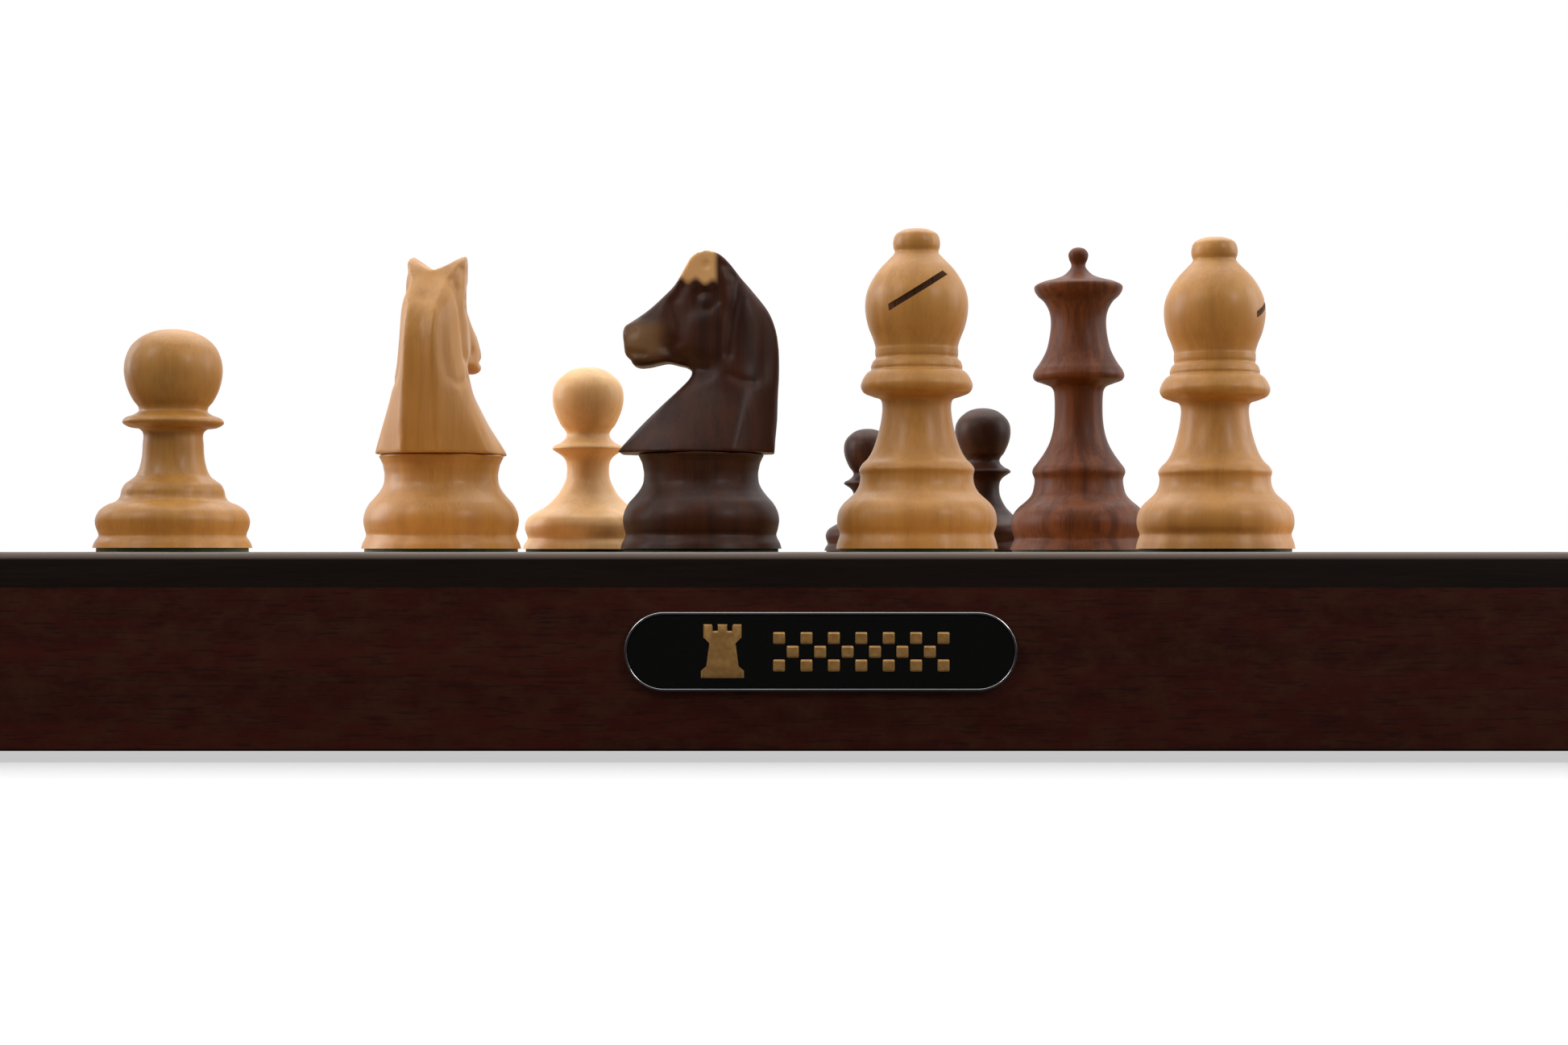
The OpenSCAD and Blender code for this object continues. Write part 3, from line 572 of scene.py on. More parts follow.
def add_node(tree: bpy.types.NodeTree, kind: str, inputs: Optional[Dict] = None,
             links: Optional[Dict] = None, **settings) -> bpy.types.Node:
    """Adds a node with its settings, its unlinked inputs and its links.

    Args:
        tree: The node tree.
        kind: The node's type, without the "ShaderNode" that each starts with.
        inputs: As for feed().
        links: As for feed().
        settings: The node's own properties.

    Returns:
        The node.
    """
    node = tree.nodes.new("ShaderNode" + kind)
    for key, value in settings.items():
        setattr(node, key, value)
    feed(tree, node, inputs, links)
    return node


def start_material(name: str) -> Tuple[bpy.types.Material, bpy.types.NodeTree, bpy.types.Node, Socket]:
    """An empty material with its surface shader.

    Args:
        name: The material's name.

    Returns:
        The material, its tree, its Principled shader and the piece's Object coordinates.
    """
    material = bpy.data.materials.new(name)
    material.use_nodes = True
    tree = material.node_tree
    tree.nodes.clear()
    shader = add_node(tree, "BsdfPrincipled")
    add_node(tree, "OutputMaterial", links={"Surface": shader})
    place = add_node(tree, "TexCoord").outputs["Object"]
    return material, tree, shader, place


class Grain(Enum):
    """Which way the fibres of a piece of wood run, as their direction in the frame."""

    ACROSS = (1, 0, 0)
    AWAY = (0, 1, 0)
    UPRIGHT = (0, 0, 1)

    def scale(self, across_mm: float, along_mm: float) -> Tuple[float, float, float]:
        """Mapping scale for a pattern that repeats this often across and along the fibres."""
        return tuple(1 / ((along_mm if on else across_mm) * MM) for on in self.value)


# Sizes of the patterns in wood, across and along the fibres, in millimetres. Fibres and pores are drawn
# several times as coarse as they are, so that they show.
WANDER_MM = (14.0, 160.0)
FIBRE_MM = (0.5, 14.0)
PORE_MM = (0.55, 5.5)
BLOTCH_MM = (3.5, 6.0)
# How much longer a year ring's streak is than it is wide, and how many rings it wanders.
RING_LENGTH = 30
RING_WANDER = 5.0
# Between which values of their noise the rings, the blotches and the pores fade in, and how much the fibres
# add to the rings.
RING_RANGE = (0.48, 0.9)
BLOTCH_RANGE = (0.42, 0.72)
PORE_RANGE = (0.58, 0.68)
FIBRE_SHARE = 0.35


@dataclass(frozen=True)
class Wood:
    """Planed, sanded and lacquered wood, with its year rings, fibres and pores.

    Attributes:
        name: Common name and finish.
        early: Colour of the pale wood between the rings.
        late: Colour of the rings and streaks.
        pore: Colour at the bottom of the pores.
        ring_mm: Distance between year rings.
        streak: How strongly the rings show, from 0 to 1.
        pores: How strongly the pores show, from 0 to 1.
        roughness: Roughness of the wood under its lacquer.
        coat: Weight of the lacquer.
        coat_roughness: Roughness of the lacquer.
        relief: Depth of the pores in millimetres.
        shine: How strongly the wood itself mirrors light, where 0.5 is usual.
        blotch: Colour of the blotches where the stain took unevenly, if it did.
    """

    name: str
    early: str
    late: str
    pore: str
    ring_mm: float = 3.0
    streak: float = 0.6
    pores: float = 0.5
    roughness: float = 0.45
    coat: float = 0.3
    coat_roughness: float = 0.2
    relief: float = 0.03
    shine: float = 0.5
    blotch: Optional[str] = None

    def make(self, grain: Grain, bare: Optional[str] = None) -> bpy.types.Material:
        """Builds the material.

        Args:
            grain: Which way the fibres run.
            bare: Colour of unstained wood, where the piece's own "bare" attribute is 1.

        Returns:
            The material.
        """
        material, tree, shader, place = start_material(f"{self.name}_{grain.name.lower()}")
        colour, pore_mask = self.pattern(tree, place, grain)
        if bare:
            mask = add_node(tree, "Attribute", attribute_name="bare").outputs["Fac"]
            colour = add_node(tree, "Mix", {"B": linear(bare)}, {"Factor": mask, "A": colour},
                              data_type="RGBA").outputs["Result"]
        self.surface(tree, shader, colour, pore_mask)
        return material

    @staticmethod
    def stretched(tree: bpy.types.NodeTree, place: Source, grain: Grain, size_mm: Tuple[float, float],
                  **inputs: float) -> bpy.types.Node:
        """Noise drawn out along the fibres.

        Args:
            tree: The material's tree.
            place: Coordinates in metres.
            grain: Which way the fibres run.
            size_mm: Size of the pattern across and along the fibres.
            inputs: The noise's own inputs.

        Returns:
            The noise's node.
        """
        drawn_out = add_node(tree, "Mapping", {"Scale": grain.scale(*size_mm)}, {"Vector": place})
        return add_node(tree, "TexNoise", {"Scale": 1.0, **inputs}, {"Vector": drawn_out})

    def pattern(self, tree: bpy.types.NodeTree, place: Source, grain: Grain) -> Tuple[Socket, Socket]:
        """Year rings, fibres and pores along one direction.

        Args:
            tree: The material's tree.
            place: Coordinates in metres.
            grain: Which way the fibres run.

        Returns:
            The wood's colour, and a mask that is 1 in the pores.
        """
        drift = self.stretched(tree, place, grain, WANDER_MM, Detail=2.0)
        rings = add_node(tree, "Mapping", {"Scale": grain.scale(self.ring_mm, self.ring_mm * RING_LENGTH)},
                         {"Vector": place})
        bent = add_node(tree, "VectorMath", {"Scale": RING_WANDER}, {"Vector": drift.outputs["Color"]},
                        operation="SCALE")
        moved = add_node(tree, "VectorMath", links={0: rings, 1: bent}, operation="ADD")
        bands = add_node(tree, "TexNoise", {"Scale": 0.8, "Detail": 3.0, "Roughness": 0.55},
                         {"Vector": moved})
        fibres = self.stretched(tree, place, grain, FIBRE_MM, Detail=2.0)
        both = add_node(tree, "Math", {1: FIBRE_SHARE}, {0: fibres, 2: bands}, operation="MULTIPLY_ADD")
        level = add_node(tree, "MapRange",
                         {"From Min": RING_RANGE[0], "From Max": RING_RANGE[1], "To Max": self.streak},
                         {"Value": both}, interpolation_type="SMOOTHSTEP")
        wood = add_node(tree, "Mix", {"A": linear(self.early), "B": linear(self.late)},
                        {"Factor": level}, data_type="RGBA")
        if self.blotch:
            uneven = self.stretched(tree, place, grain, BLOTCH_MM, Detail=6.0, Roughness=0.75)
            taken = add_node(tree, "MapRange", {"From Min": BLOTCH_RANGE[0], "From Max": BLOTCH_RANGE[1]},
                             {"Value": uneven})
            wood = add_node(tree, "Mix", {"B": linear(self.blotch)},
                            {"Factor": taken, "A": wood.outputs["Result"]}, data_type="RGBA")
        vessels = self.stretched(tree, place, grain, PORE_MM, Detail=1.0, Roughness=0.4)
        pore_mask = add_node(tree, "MapRange",
                             {"From Min": PORE_RANGE[0], "From Max": PORE_RANGE[1], "To Max": self.pores},
                             {"Value": vessels}, interpolation_type="SMOOTHSTEP")
        colour = add_node(tree, "Mix", {"B": linear(self.pore)},
                          {"Factor": pore_mask, "A": wood.outputs["Result"]}, data_type="RGBA")
        return colour.outputs["Result"], pore_mask.outputs[0]

    def surface(self, tree: bpy.types.NodeTree, shader: bpy.types.Node, colour: Source,
                pore_mask: Source) -> None:
        """Sets the shader: satin wood under a thin clear lacquer that sinks into the pores.

        Args:
            tree: The material's tree.
            shader: Its Principled shader.
            colour: The wood's colour.
            pore_mask: Mask that is 1 in the pores.
        """
        rough = add_node(tree, "Math", {1: 0.25, 2: self.roughness}, {0: pore_mask}, operation="MULTIPLY_ADD")
        bump = add_node(tree, "Bump", {"Strength": 0.6, "Distance": self.relief * MM},
                        {"Height": pore_mask}, invert=True)
        feed(tree, shader, {"IOR": 1.5, "Specular IOR Level": self.shine, "Coat Weight": self.coat,
                            "Coat Roughness": self.coat_roughness},
             {"Base Color": colour, "Roughness": rough, "Normal": bump})


# Mahogany stained red-brown by wiping and given a thin satin lacquer: short dark pores and brown blotches.
STAINED_MAHOGANY = Wood("stained_mahogany", early="#3f1209", late="#230a05", pore="#150603",
                        ring_mm=9.0, streak=0.7, pores=0.45, roughness=0.5, coat=0.04, coat_roughness=0.35,
                        shine=0.12, blotch="#3d2011")
# Walnut veneer stained nearly black and rubbed to a satin sheen.
EBONISED_WALNUT = Wood("ebonised_walnut", early="#1d120d", late="#110a07", pore="#070403",
                       ring_mm=4.0, streak=0.7, pores=0.4, roughness=0.45, coat=0.04, coat_roughness=0.25,
                       shine=0.15)
# Maple veneer laid in squares, sanded flat and lacquered: pale, with faint darker streaks.
MAPLE_VENEER = Wood("maple_veneer", early="#dcb984", late="#bd935c", pore="#a67c48",
                    ring_mm=2.5, streak=0.8, pores=0.25, roughness=0.45, coat=0.15, relief=0.01,
                    shine=0.35)
# Walnut veneer laid in squares, sanded flat and lacquered: warm brown with dark pores.
WALNUT_VENEER = Wood("walnut_veneer", early="#66391c", late="#3a1d0e", pore="#200f08",
                     ring_mm=2.5, streak=0.9, pores=0.6, roughness=0.48, coat=0.12, relief=0.02,
                     shine=0.2)
# Boxwood, turned and carved, sanded and sprayed with clear satin lacquer: close, even, golden.
TURNED_BOXWOOD = Wood("turned_boxwood", early="#b57f39", late="#905f24", pore="#7c5221",
                      ring_mm=3.0, streak=0.5, pores=0.1, roughness=0.5, coat=0.18, coat_roughness=0.25,
                      relief=0.01, shine=0.35)
# A paler copy of the same boxwood: painted light that brightens the rear pawn, which stands in shade.
BRIGHTENED_BOXWOOD = Wood("turned_boxwood_painted_light", early="#e4b478", late="#c7985d", pore="#a67a42",
                    ring_mm=3.0, streak=0.5, pores=0.1, roughness=0.5, coat=0.15, coat_roughness=0.25,
                    relief=0.01, shine=0.35)
# Boxwood stained to a dark rosewood brown, sprayed with clear lacquer.
DARK_BOXWOOD = Wood("dark_stained_boxwood", early="#3e1c0a", late="#230e05", pore="#180803",
                    ring_mm=2.6, streak=0.8, pores=0.15, roughness=0.5, coat=0.09, coat_roughness=0.3,
                    relief=0.01, shine=0.18)
# The same stain taken up more thinly, so that it dries to a warm mid brown.
BROWN_BOXWOOD = Wood("brown_stained_boxwood", early="#673515", late="#3d1b09", pore="#2c150b",
                     ring_mm=2.6, streak=0.8, pores=0.15, roughness=0.5, coat=0.08, coat_roughness=0.3,
                     relief=0.01, shine=0.16)
# End grain inside a saw cut: darker brown than the face wood, partly the end grain's own tone and partly
# painted shade for the narrow cut.
SAWN_KERF = Wood("sawn_kerf", early="#6b3f1f", late="#4a2810", pore="#331a0a", roughness=0.8, coat=0.0)
# Plain birch block, sawn and left bare inside the frame.
SAWN_BIRCH = Wood("sawn_birch", early="#c9a473", late="#a97f4d", pore="#93693b", roughness=0.7, coat=0.0)


# How far handling and the tool's grain move a moulded surface's roughness up and down.
WEAR = 0.06


@dataclass(frozen=True)
class Moulded:
    """Plastic or rubber from a mould, with the fine spark texture of its tool.

    Attributes:
        name: Common name of the material and how it was made.
        colour: Its colour.
        shade: The colour that it drifts to in slow patches.
        roughness: Its roughness.
        texture_mm: Size of the grains that the mould left.
        patch_mm: Size of the patches in which its colour drifts.
        depth_mm: Depth of the texture.
        metallic: 1 for a metal.
        coat: Weight of a clear coat.
        transmission: 1 for clear plastic or glass.
    """

    name: str
    colour: str
    shade: str
    roughness: float
    texture_mm: float = 0.5
    patch_mm: float = 18.0
    depth_mm: float = 0.01
    metallic: float = 0.0
    coat: float = 0.0
    transmission: float = 0.0

    def make(self) -> bpy.types.Material:
        """Builds the material: colour drifting in slow patches, and a fine grain in roughness and relief."""
        material, tree, shader, place = start_material(self.name)
        patches = add_node(tree, "TexNoise", {"Scale": 1 / (self.patch_mm * MM), "Detail": 3.0},
                           {"Vector": place})
        colour = add_node(tree, "Mix", {"A": linear(self.colour), "B": linear(self.shade)},
                          {"Factor": patches}, data_type="RGBA")
        grain = add_node(tree, "TexNoise", {"Scale": 1 / (self.texture_mm * MM), "Detail": 2.0},
                         {"Vector": place})
        rough = add_node(tree, "MapRange",
                         {"To Min": max(self.roughness - WEAR, 0.0), "To Max": self.roughness + WEAR},
                         {"Value": grain})
        bump = add_node(tree, "Bump", {"Strength": 0.5, "Distance": self.depth_mm * MM}, {"Height": grain})
        feed(tree, shader, {"Metallic": self.metallic, "Coat Weight": self.coat,
                            "Transmission Weight": self.transmission},
             {"Base Color": colour.outputs["Result"], "Roughness": rough, "Normal": bump})
        return material


# ABS moulded against a spark-eroded tool: matt black with a faint sparkle.
BLACK_ABS = Moulded("moulded_black_abs", "#191716", "#121110", 0.5, texture_mm=0.4, depth_mm=0.03)
# Grey ABS key caps, worn a little smoother where fingers press.
GREY_ABS = Moulded("moulded_grey_abs", "#4a4845", "#403e3b", 0.42, texture_mm=0.4, depth_mm=0.015)
# Ivory ABS of the switch knob and spacers.
IVORY_ABS = Moulded("moulded_ivory_abs", "#d8d4cb", "#ccc7bb", 0.4)
# Black enamel fired on the badge and polished to a deep gloss.
BLACK_ENAMEL = Moulded("polished_black_enamel", "#070706", "#0a0908", 0.12, texture_mm=2.0,
                       depth_mm=0.002, coat=0.8)
# Brass rim, chromium plated and polished.
POLISHED_CHROME = Moulded("polished_chrome", "#cfd0d0", "#bdbebe", 0.14, texture_mm=1.5, depth_mm=0.001,
                          metallic=1.0)
# Gold lacquer laid over stamped relief: its metal flakes lie in clear resin, so it glows softly all over.
GILT_LACQUER = Moulded("gilt_flake_lacquer", "#d8a662", "#8a5f31", 0.36, texture_mm=0.3, patch_mm=1.1,
                       depth_mm=0.03, metallic=0.5)
# Yellow-passivated steel screws.
PASSIVATED_STEEL = Moulded("passivated_steel", "#b09a62", "#9b8550", 0.35, metallic=1.0)
# Spring steel, rolled and nickel plated.
NICKEL_STEEL = Moulded("nickel_plated_steel", "#c4c3be", "#aeada8", 0.3, metallic=1.0)
# Black rubber, moulded dull.
BLACK_RUBBER = Moulded("moulded_black_rubber", "#1b1a1a", "#141313", 0.75, texture_mm=0.6, depth_mm=0.03)
# Pale silicone rubber key mat.
SILICONE = Moulded("moulded_silicone", "#c9c6bf", "#bbb8b0", 0.6)
# Epoxy lamp with a red tint, half clear.
RED_EPOXY = Moulded("cast_red_epoxy", "#b3241c", "#8e1a14", 0.15, depth_mm=0.0, coat=0.5)
# Glass-fibre board under green solder mask.
SOLDER_MASK = Moulded("green_solder_mask", "#1c5a34", "#17492a", 0.35, texture_mm=1.2, depth_mm=0.02)
# Thin glass tubes of the reed contacts.
REED_GLASS = Moulded("drawn_glass", "#b9c4bd", "#aab6ae", 0.08, depth_mm=0.0, transmission=0.6)
# Grey flat cable in soft PVC.
GREY_PVC = Moulded("extruded_grey_pvc", "#8c8f96", "#7f828a", 0.45)
# Printed plastic sleeve shrunk on each cell.
CELL_SLEEVE = Moulded("printed_cell_sleeve", "#7d2b24", "#5f1f1a", 0.3, coat=0.4)
# Clear acrylic window, polished.
CLEAR_ACRYLIC = Moulded("polished_clear_acrylic", "#f2f6f6", "#eef3f3", 0.04, depth_mm=0.0,
                        transmission=1.0)
# Liquid crystal glass over its grey-green reflector.
LCD_GLASS = Moulded("lcd_glass", "#8d9a7c", "#849173", 0.18, depth_mm=0.0)
# Dark segments of the liquid crystal display.
LCD_SEGMENT = Moulded("lcd_segment", "#1d211b", "#242a21", 0.3, depth_mm=0.0)
# Pale ink, screen printed on the border and the keys: matt, with a faint weave from the screen.
PRINTED_INK = Moulded("screen_printed_ink", "#c9c2ae", "#b9b29d", 0.5, texture_mm=0.2, depth_mm=0.002)


@dataclass(frozen=True)
class Fibrous:
    """Material of pressed or tangled fibres, such as hardboard or felt.

    Attributes:
        name: Common name of the material and how it was made.
        colour: Colour of the fibres.
        shade: Colour between the fibres.
        fibre_mm: Distance between fibres.
        roughness: Its roughness.
        sheen: Weight of the soft light that standing fibres catch.
        depth_mm: Depth of the texture.
    """

    name: str
    colour: str
    shade: str
    fibre_mm: float
    roughness: float
    sheen: float = 0.0
    depth_mm: float = 0.05

    def make(self) -> bpy.types.Material:
        """Builds the material: short specks of two colours that also raise and lower the surface."""
        material, tree, shader, place = start_material(self.name)
        specks = add_node(tree, "TexNoise",
                          {"Scale": 1 / (self.fibre_mm * MM), "Detail": 5.0, "Distortion": 1.5},
                          {"Vector": place})
        spread = add_node(tree, "MapRange", {"From Min": 0.35, "From Max": 0.65}, {"Value": specks})
        colour = add_node(tree, "Mix", {"A": linear(self.shade), "B": linear(self.colour)},
                          {"Factor": spread}, data_type="RGBA")
        bump = add_node(tree, "Bump", {"Strength": 0.5, "Distance": self.depth_mm * MM}, {"Height": specks})
        feed(tree, shader, {"Roughness": self.roughness, "Sheen Weight": self.sheen},
             {"Base Color": colour.outputs["Result"], "Normal": bump})
        return material


# Hardboard: brown wood fibre pressed in hot plates, smooth and slightly mottled.
HARDBOARD = Fibrous("pressed_hardboard", "#7b5a38", "#5d4127", 1.2, 0.6)
# Green wool felt, cut and glued under each piece.
GREEN_FELT = Fibrous("green_wool_felt", "#1f4a33", "#12301f", 0.6, 0.95, sheen=0.5, depth_mm=0.2)


# ------------------------------------------------------------------ the board


@dataclass
class Board:
    """The frame's rails, the top panel, and the inlaid playing field.

    Attributes:
        square: Side of one square.
        edge_radius: Radius of the panel's rounded top edge.
        corner_radius: Radius of the panel's upright corners.
        recess: Depth of the recess for the veneer.
        lamp: Offset of each lamp's hole from the middle of its square, along x and along y.
        lamp_hole: Radius of that hole.
        gap: Width of the joint between the border and its core.
        edge_highlight: Colour of the painted highlight on the rounded edge, which stands in for the white
            surroundings mirrored there.
        highlight_band: Reach outwards plus upwards, in edge radii, where the painted highlight starts and
            where it is full.
        tones: Tone of the darkest and of the palest square, against their veneer.
        glyph: Line height of the coordinates.
        ink: Thickness of their ink.
    """

    square: float = 50.0
    edge_radius: float = 1.4
    corner_radius: float = 0.9
    recess: float = 1.0
    lamp: float = 17.0
    lamp_hole: float = 1.65
    gap: float = 0.2
    # Painted highlight: pale grey for the border's rounded edge, in place of the white surroundings mirrored
    # there, and the band that it covers.
    edge_highlight: str = "#5e5047"
    highlight_band: Tuple[float, float] = (1.02, 1.38)
    tones: Tuple[float, float] = (0.86, 1.1)
    glyph: float = 10.0
    ink: float = 0.03

    def build(self) -> None:
        """Builds the border and its core, and finishes the frame's own wooden nodes."""
        self.panel()
        across, away = STAINED_MAHOGANY.make(Grain.ACROSS), STAINED_MAHOGANY.make(Grain.AWAY)
        finish_node(across, "rail_front", "rail_rear")
        finish_node(away, "rail_left", "rail_right")
        finish_node(SAWN_BIRCH.make(Grain.UPRIGHT), "corner_blocks")
        finish_node(self.veneer(MAPLE_VENEER), "light_squares")
        finish_node(self.veneer(WALNUT_VENEER), "dark_squares")
        finish_node(RED_EPOXY.make(), "square_leds")
        make_piece("border_coordinates", self.coordinates(), PRINTED_INK.make(), "frame")

    def panel(self) -> None:
        """Builds the border as a moulding round the field, over a core pierced for the lamps."""
        low, high = box_mm("top_panel")
        half, bottom, top = high[0], low[2], high[2]
        field_half = 4 * self.square
        outline = rounded_rectangle(half, half, self.corner_radius, arc=5)
        inner = half - field_half - self.gap
        section = [(0.0, bottom)] + round_over(top, self.edge_radius, steps=8)
        section += [(inner, top), (inner, bottom)]
        make_piece("panel_border", hoop(outline, section), self.border_finish(), "frame",
                   ["top_panel"], crease=SOFT_CREASE)
        middles = (np.arange(8) - 3.5) * self.square
        centres = np.stack(np.meshgrid(middles, middles), axis=-1).reshape(-1, 2)
        core = pierced_tiles(centres, self.square, (self.lamp, self.lamp, self.lamp_hole), bottom,
                             top - self.recess - HAIR)
        make_piece("panel_core", core, SAWN_BIRCH.make(Grain.ACROSS), "frame")

    def coordinates(self) -> Shell:
        """Letters along the front and the rear of the border, and numbers along its flanks.

        Each stands at the middle of its square's side. Those at the rear and on the right are turned to be
        read from the other side of the board.

        Returns:
            All the coordinates, sunk by a third of their ink into the border.
        """
        _, high = box_mm("top_panel")
        line = (high[0] + 4 * self.square) / 2
        shells = []
        for number, (file, rank) in enumerate(zip("ABCDEFGH", "12345678")):
            along = (number - 3.5) * self.square
            for side, turn in ((-1, 0), (1, 180)):
                for words, x, y in ((file, along, side * line), (rank, side * line, along)):
                    glyph = lettering(words, self.glyph, self.ink)
                    shells.append(glyph.moved(x, y, high[2] - self.ink / 3, turn))
        return sum(shells[1:], shells[0])

    def border_finish(self) -> bpy.types.Material:
        """Ebonised veneer whose fibres run along each side and meet in mitres, with a pale painted highlight
        on its rounded edge.

        Distance out plus height is greatest half-way round the rounded edge, where the colour is mixed
        towards pale grey as a painted highlight, standing in for the white surroundings mirrored there.

        Returns:
            The material.
        """
        material, tree, shader, place = start_material("ebonised_walnut_mitred")
        apart = add_node(tree, "SeparateXYZ", links={0: place})
        sides = [add_node(tree, "Math", links={0: apart.outputs[i]}, operation="ABSOLUTE") for i in (0, 1)]
        on_flank = add_node(tree, "Math", links={0: sides[0], 1: sides[1]}, operation="GREATER_THAN")
        across, across_pores = EBONISED_WALNUT.pattern(tree, place, Grain.ACROSS)
        away, away_pores = EBONISED_WALNUT.pattern(tree, place, Grain.AWAY)
        colour = add_node(tree, "Mix", links={"Factor": on_flank, "A": across, "B": away},
                          data_type="RGBA").outputs["Result"]
        pores = add_node(tree, "Mix", links={0: on_flank, 2: across_pores, 3: away_pores})
        reach = add_node(tree, "Math", links={0: sides[0], 1: sides[1]}, operation="MAXIMUM")
        height = add_node(tree, "Math", links={0: reach, 1: apart.outputs[2]}, operation="ADD")
        _, high = box_mm("top_panel")
        edge = (high[0] + high[2] - 2 * self.edge_radius) * MM
        start, full = (edge + share * self.edge_radius * MM for share in self.highlight_band)
        # Painted highlight: the rounded edge turns pale grey, where the white surroundings would be mirrored.
        edge_highlight = add_node(tree, "MapRange", {"From Min": start, "From Max": full},
                          {"Value": height}, interpolation_type="SMOOTHSTEP")
        edge_highlight_colour = add_node(tree, "Mix", {"B": linear(self.edge_highlight)},
                        {"Factor": edge_highlight, "A": colour}, data_type="RGBA")
        EBONISED_WALNUT.surface(tree, shader, edge_highlight_colour.outputs["Result"], pores)
        return material

    def veneer(self, wood: Wood) -> bpy.types.Material:
        """Veneer cut from different places of the sheet for each square.

        Args:
            wood: The veneer's wood.

        Returns:
            Its material, with each square's pattern moved and its tone changed a little.
        """
        material, tree, shader, place = start_material(wood.name)
        cells = add_node(tree, "VectorMath", {1: (1 / (self.square * MM),) * 3}, {0: place},
                         operation="MULTIPLY")
        cell = add_node(tree, "VectorMath", links={0: cells}, operation="FLOOR")
        flat = add_node(tree, "VectorMath", {1: (1.0, 1.0, 0.0)}, {0: cell}, operation="MULTIPLY")
        draw = add_node(tree, "TexWhiteNoise", links={"Vector": flat}, noise_dimensions="3D")
        shift = add_node(tree, "VectorMath", links={0: place, 1: draw.outputs["Color"]}, operation="ADD")
        colour, pores = wood.pattern(tree, shift, Grain.AWAY)
        tone = add_node(tree, "MapRange", {"To Min": self.tones[0], "To Max": self.tones[1]},
                        {"Value": draw.outputs["Value"]})
        toned = add_node(tree, "HueSaturation", links={"Value": tone, "Color": colour})
        wood.surface(tree, shader, toned, pores)
        return material


@dataclass
class Badge:
    """The maker's plate on the front rail: enamel, a bright rim, and a tower with a chequered ribbon.

    Attributes:
        rim_width: Width of the bright rim.
        bead: Radius of the rim's outer edge.
        undercut: Slope of the rim's inner side, as its bead's insets against those outside.
        sunk: How far the enamel lies below the rim's top.
        chamfer: Size of the enamel's edge.
        bevel: Width and height of the relief's bevelled edge.
        half_tower: Right half of the tower's outline, from its foot to its battlements.
        tower_size: Distance from the tower's middle at which an inset is worth its full width.
        tower_x: Place of the tower's middle.
        ribbon_x: Place of the ribbon's first check.
        checks: How many checks the ribbon is long.
        cell: Side of one check of the ribbon.
        check_gap: Width that a check's edges give up on each side.
        check_corner: Radius of a check's corners.
    """

    rim_width: float = 0.45
    bead: float = 0.2
    undercut: float = 0.6
    sunk: float = 0.3
    chamfer: float = 0.12
    bevel: Tuple[float, float] = (0.3, 0.22)
    half_tower: Sequence[Tuple[float, float]] = (
        (3.6, -4.4), (3.6, -3.2), (2.7, -2.4), (2.2, 1.4), (3.2, 2.4), (3.2, 4.6), (1.8, 4.6), (1.8, 3.5),
        (0.8, 3.5), (0.8, 4.6))
    tower_size: float = 4.0
    tower_x: float = -16.5
    ribbon_x: float = -7.0
    checks: int = 13
    cell: float = 2.3
    check_gap: float = 0.15
    check_corner: float = 0.25

    def build(self) -> None:
        """Builds the plate, the rim and the emblem."""
        low, high = box_mm("badge_rim")
        wall, proud = high[1], high[1] - low[1]
        length, height, middle = high[0] - low[0], high[2] - low[2], (low[2] + high[2]) / 2
        outline = rounded_rectangle(length / 2, height / 2, height / 2 - HAIR / 10, arc=24)
        rise = round_over(proud, self.bead)
        back = [(self.rim_width - inset * self.undercut, z) for inset, z in reversed(rise)]
        rim = hoop(outline, [(0.0, HAIR), *rise, *back, (self.rim_width, HAIR)])
        make_piece("badge_bright_rim", upright(rim, wall, middle), POLISHED_CHROME.make(), "frame",
                   ["badge_rim"])
        face, side = proud - self.sunk, self.rim_width + 3 * HAIR
        plate = stack(outline, [(side, HAIR), (side, face - self.chamfer),
                                (self.rim_width + self.chamfer, face)])
        make_piece("badge_enamel", upright(plate, wall, middle), BLACK_ENAMEL.make(), "frame",
                   ["badge_plate"])
        emblem = self.emblem(face - 2 * HAIR, proud)
        make_piece("badge_gilt", upright(emblem, wall, middle), GILT_LACQUER.make(), "frame",
                   ["badge_emblem"])

    def emblem(self, low: float, high: float) -> Shell:
        """A castle tower beside a chequered ribbon.

        Args:
            low: Height at which the relief starts.
            high: Height of its top.

        Returns:
            The relief, standing along +Z with its middle at the origin.
        """
        rows = [(0.0, low), (0.0, high - self.bevel[1]), (self.bevel[0], high)]
        half = np.array(self.half_tower)
        tower = np.vstack([half, half[::-1] * [-1, 1]])
        relief = stack(lambda inset: tower * (1 - inset / self.tower_size), rows).moved(self.tower_x, 0, 0)
        side = self.cell / 2 - self.check_gap
        tile = stack(rounded_rectangle(side, side, self.check_corner, arc=3), rows)
        for column, row in product(range(self.checks), (-1, 0, 1)):
            if (column + row + 1) % 2 == 0:
                relief = relief + tile.moved(self.ribbon_x + column * self.cell, row * self.cell, 0)
        return relief


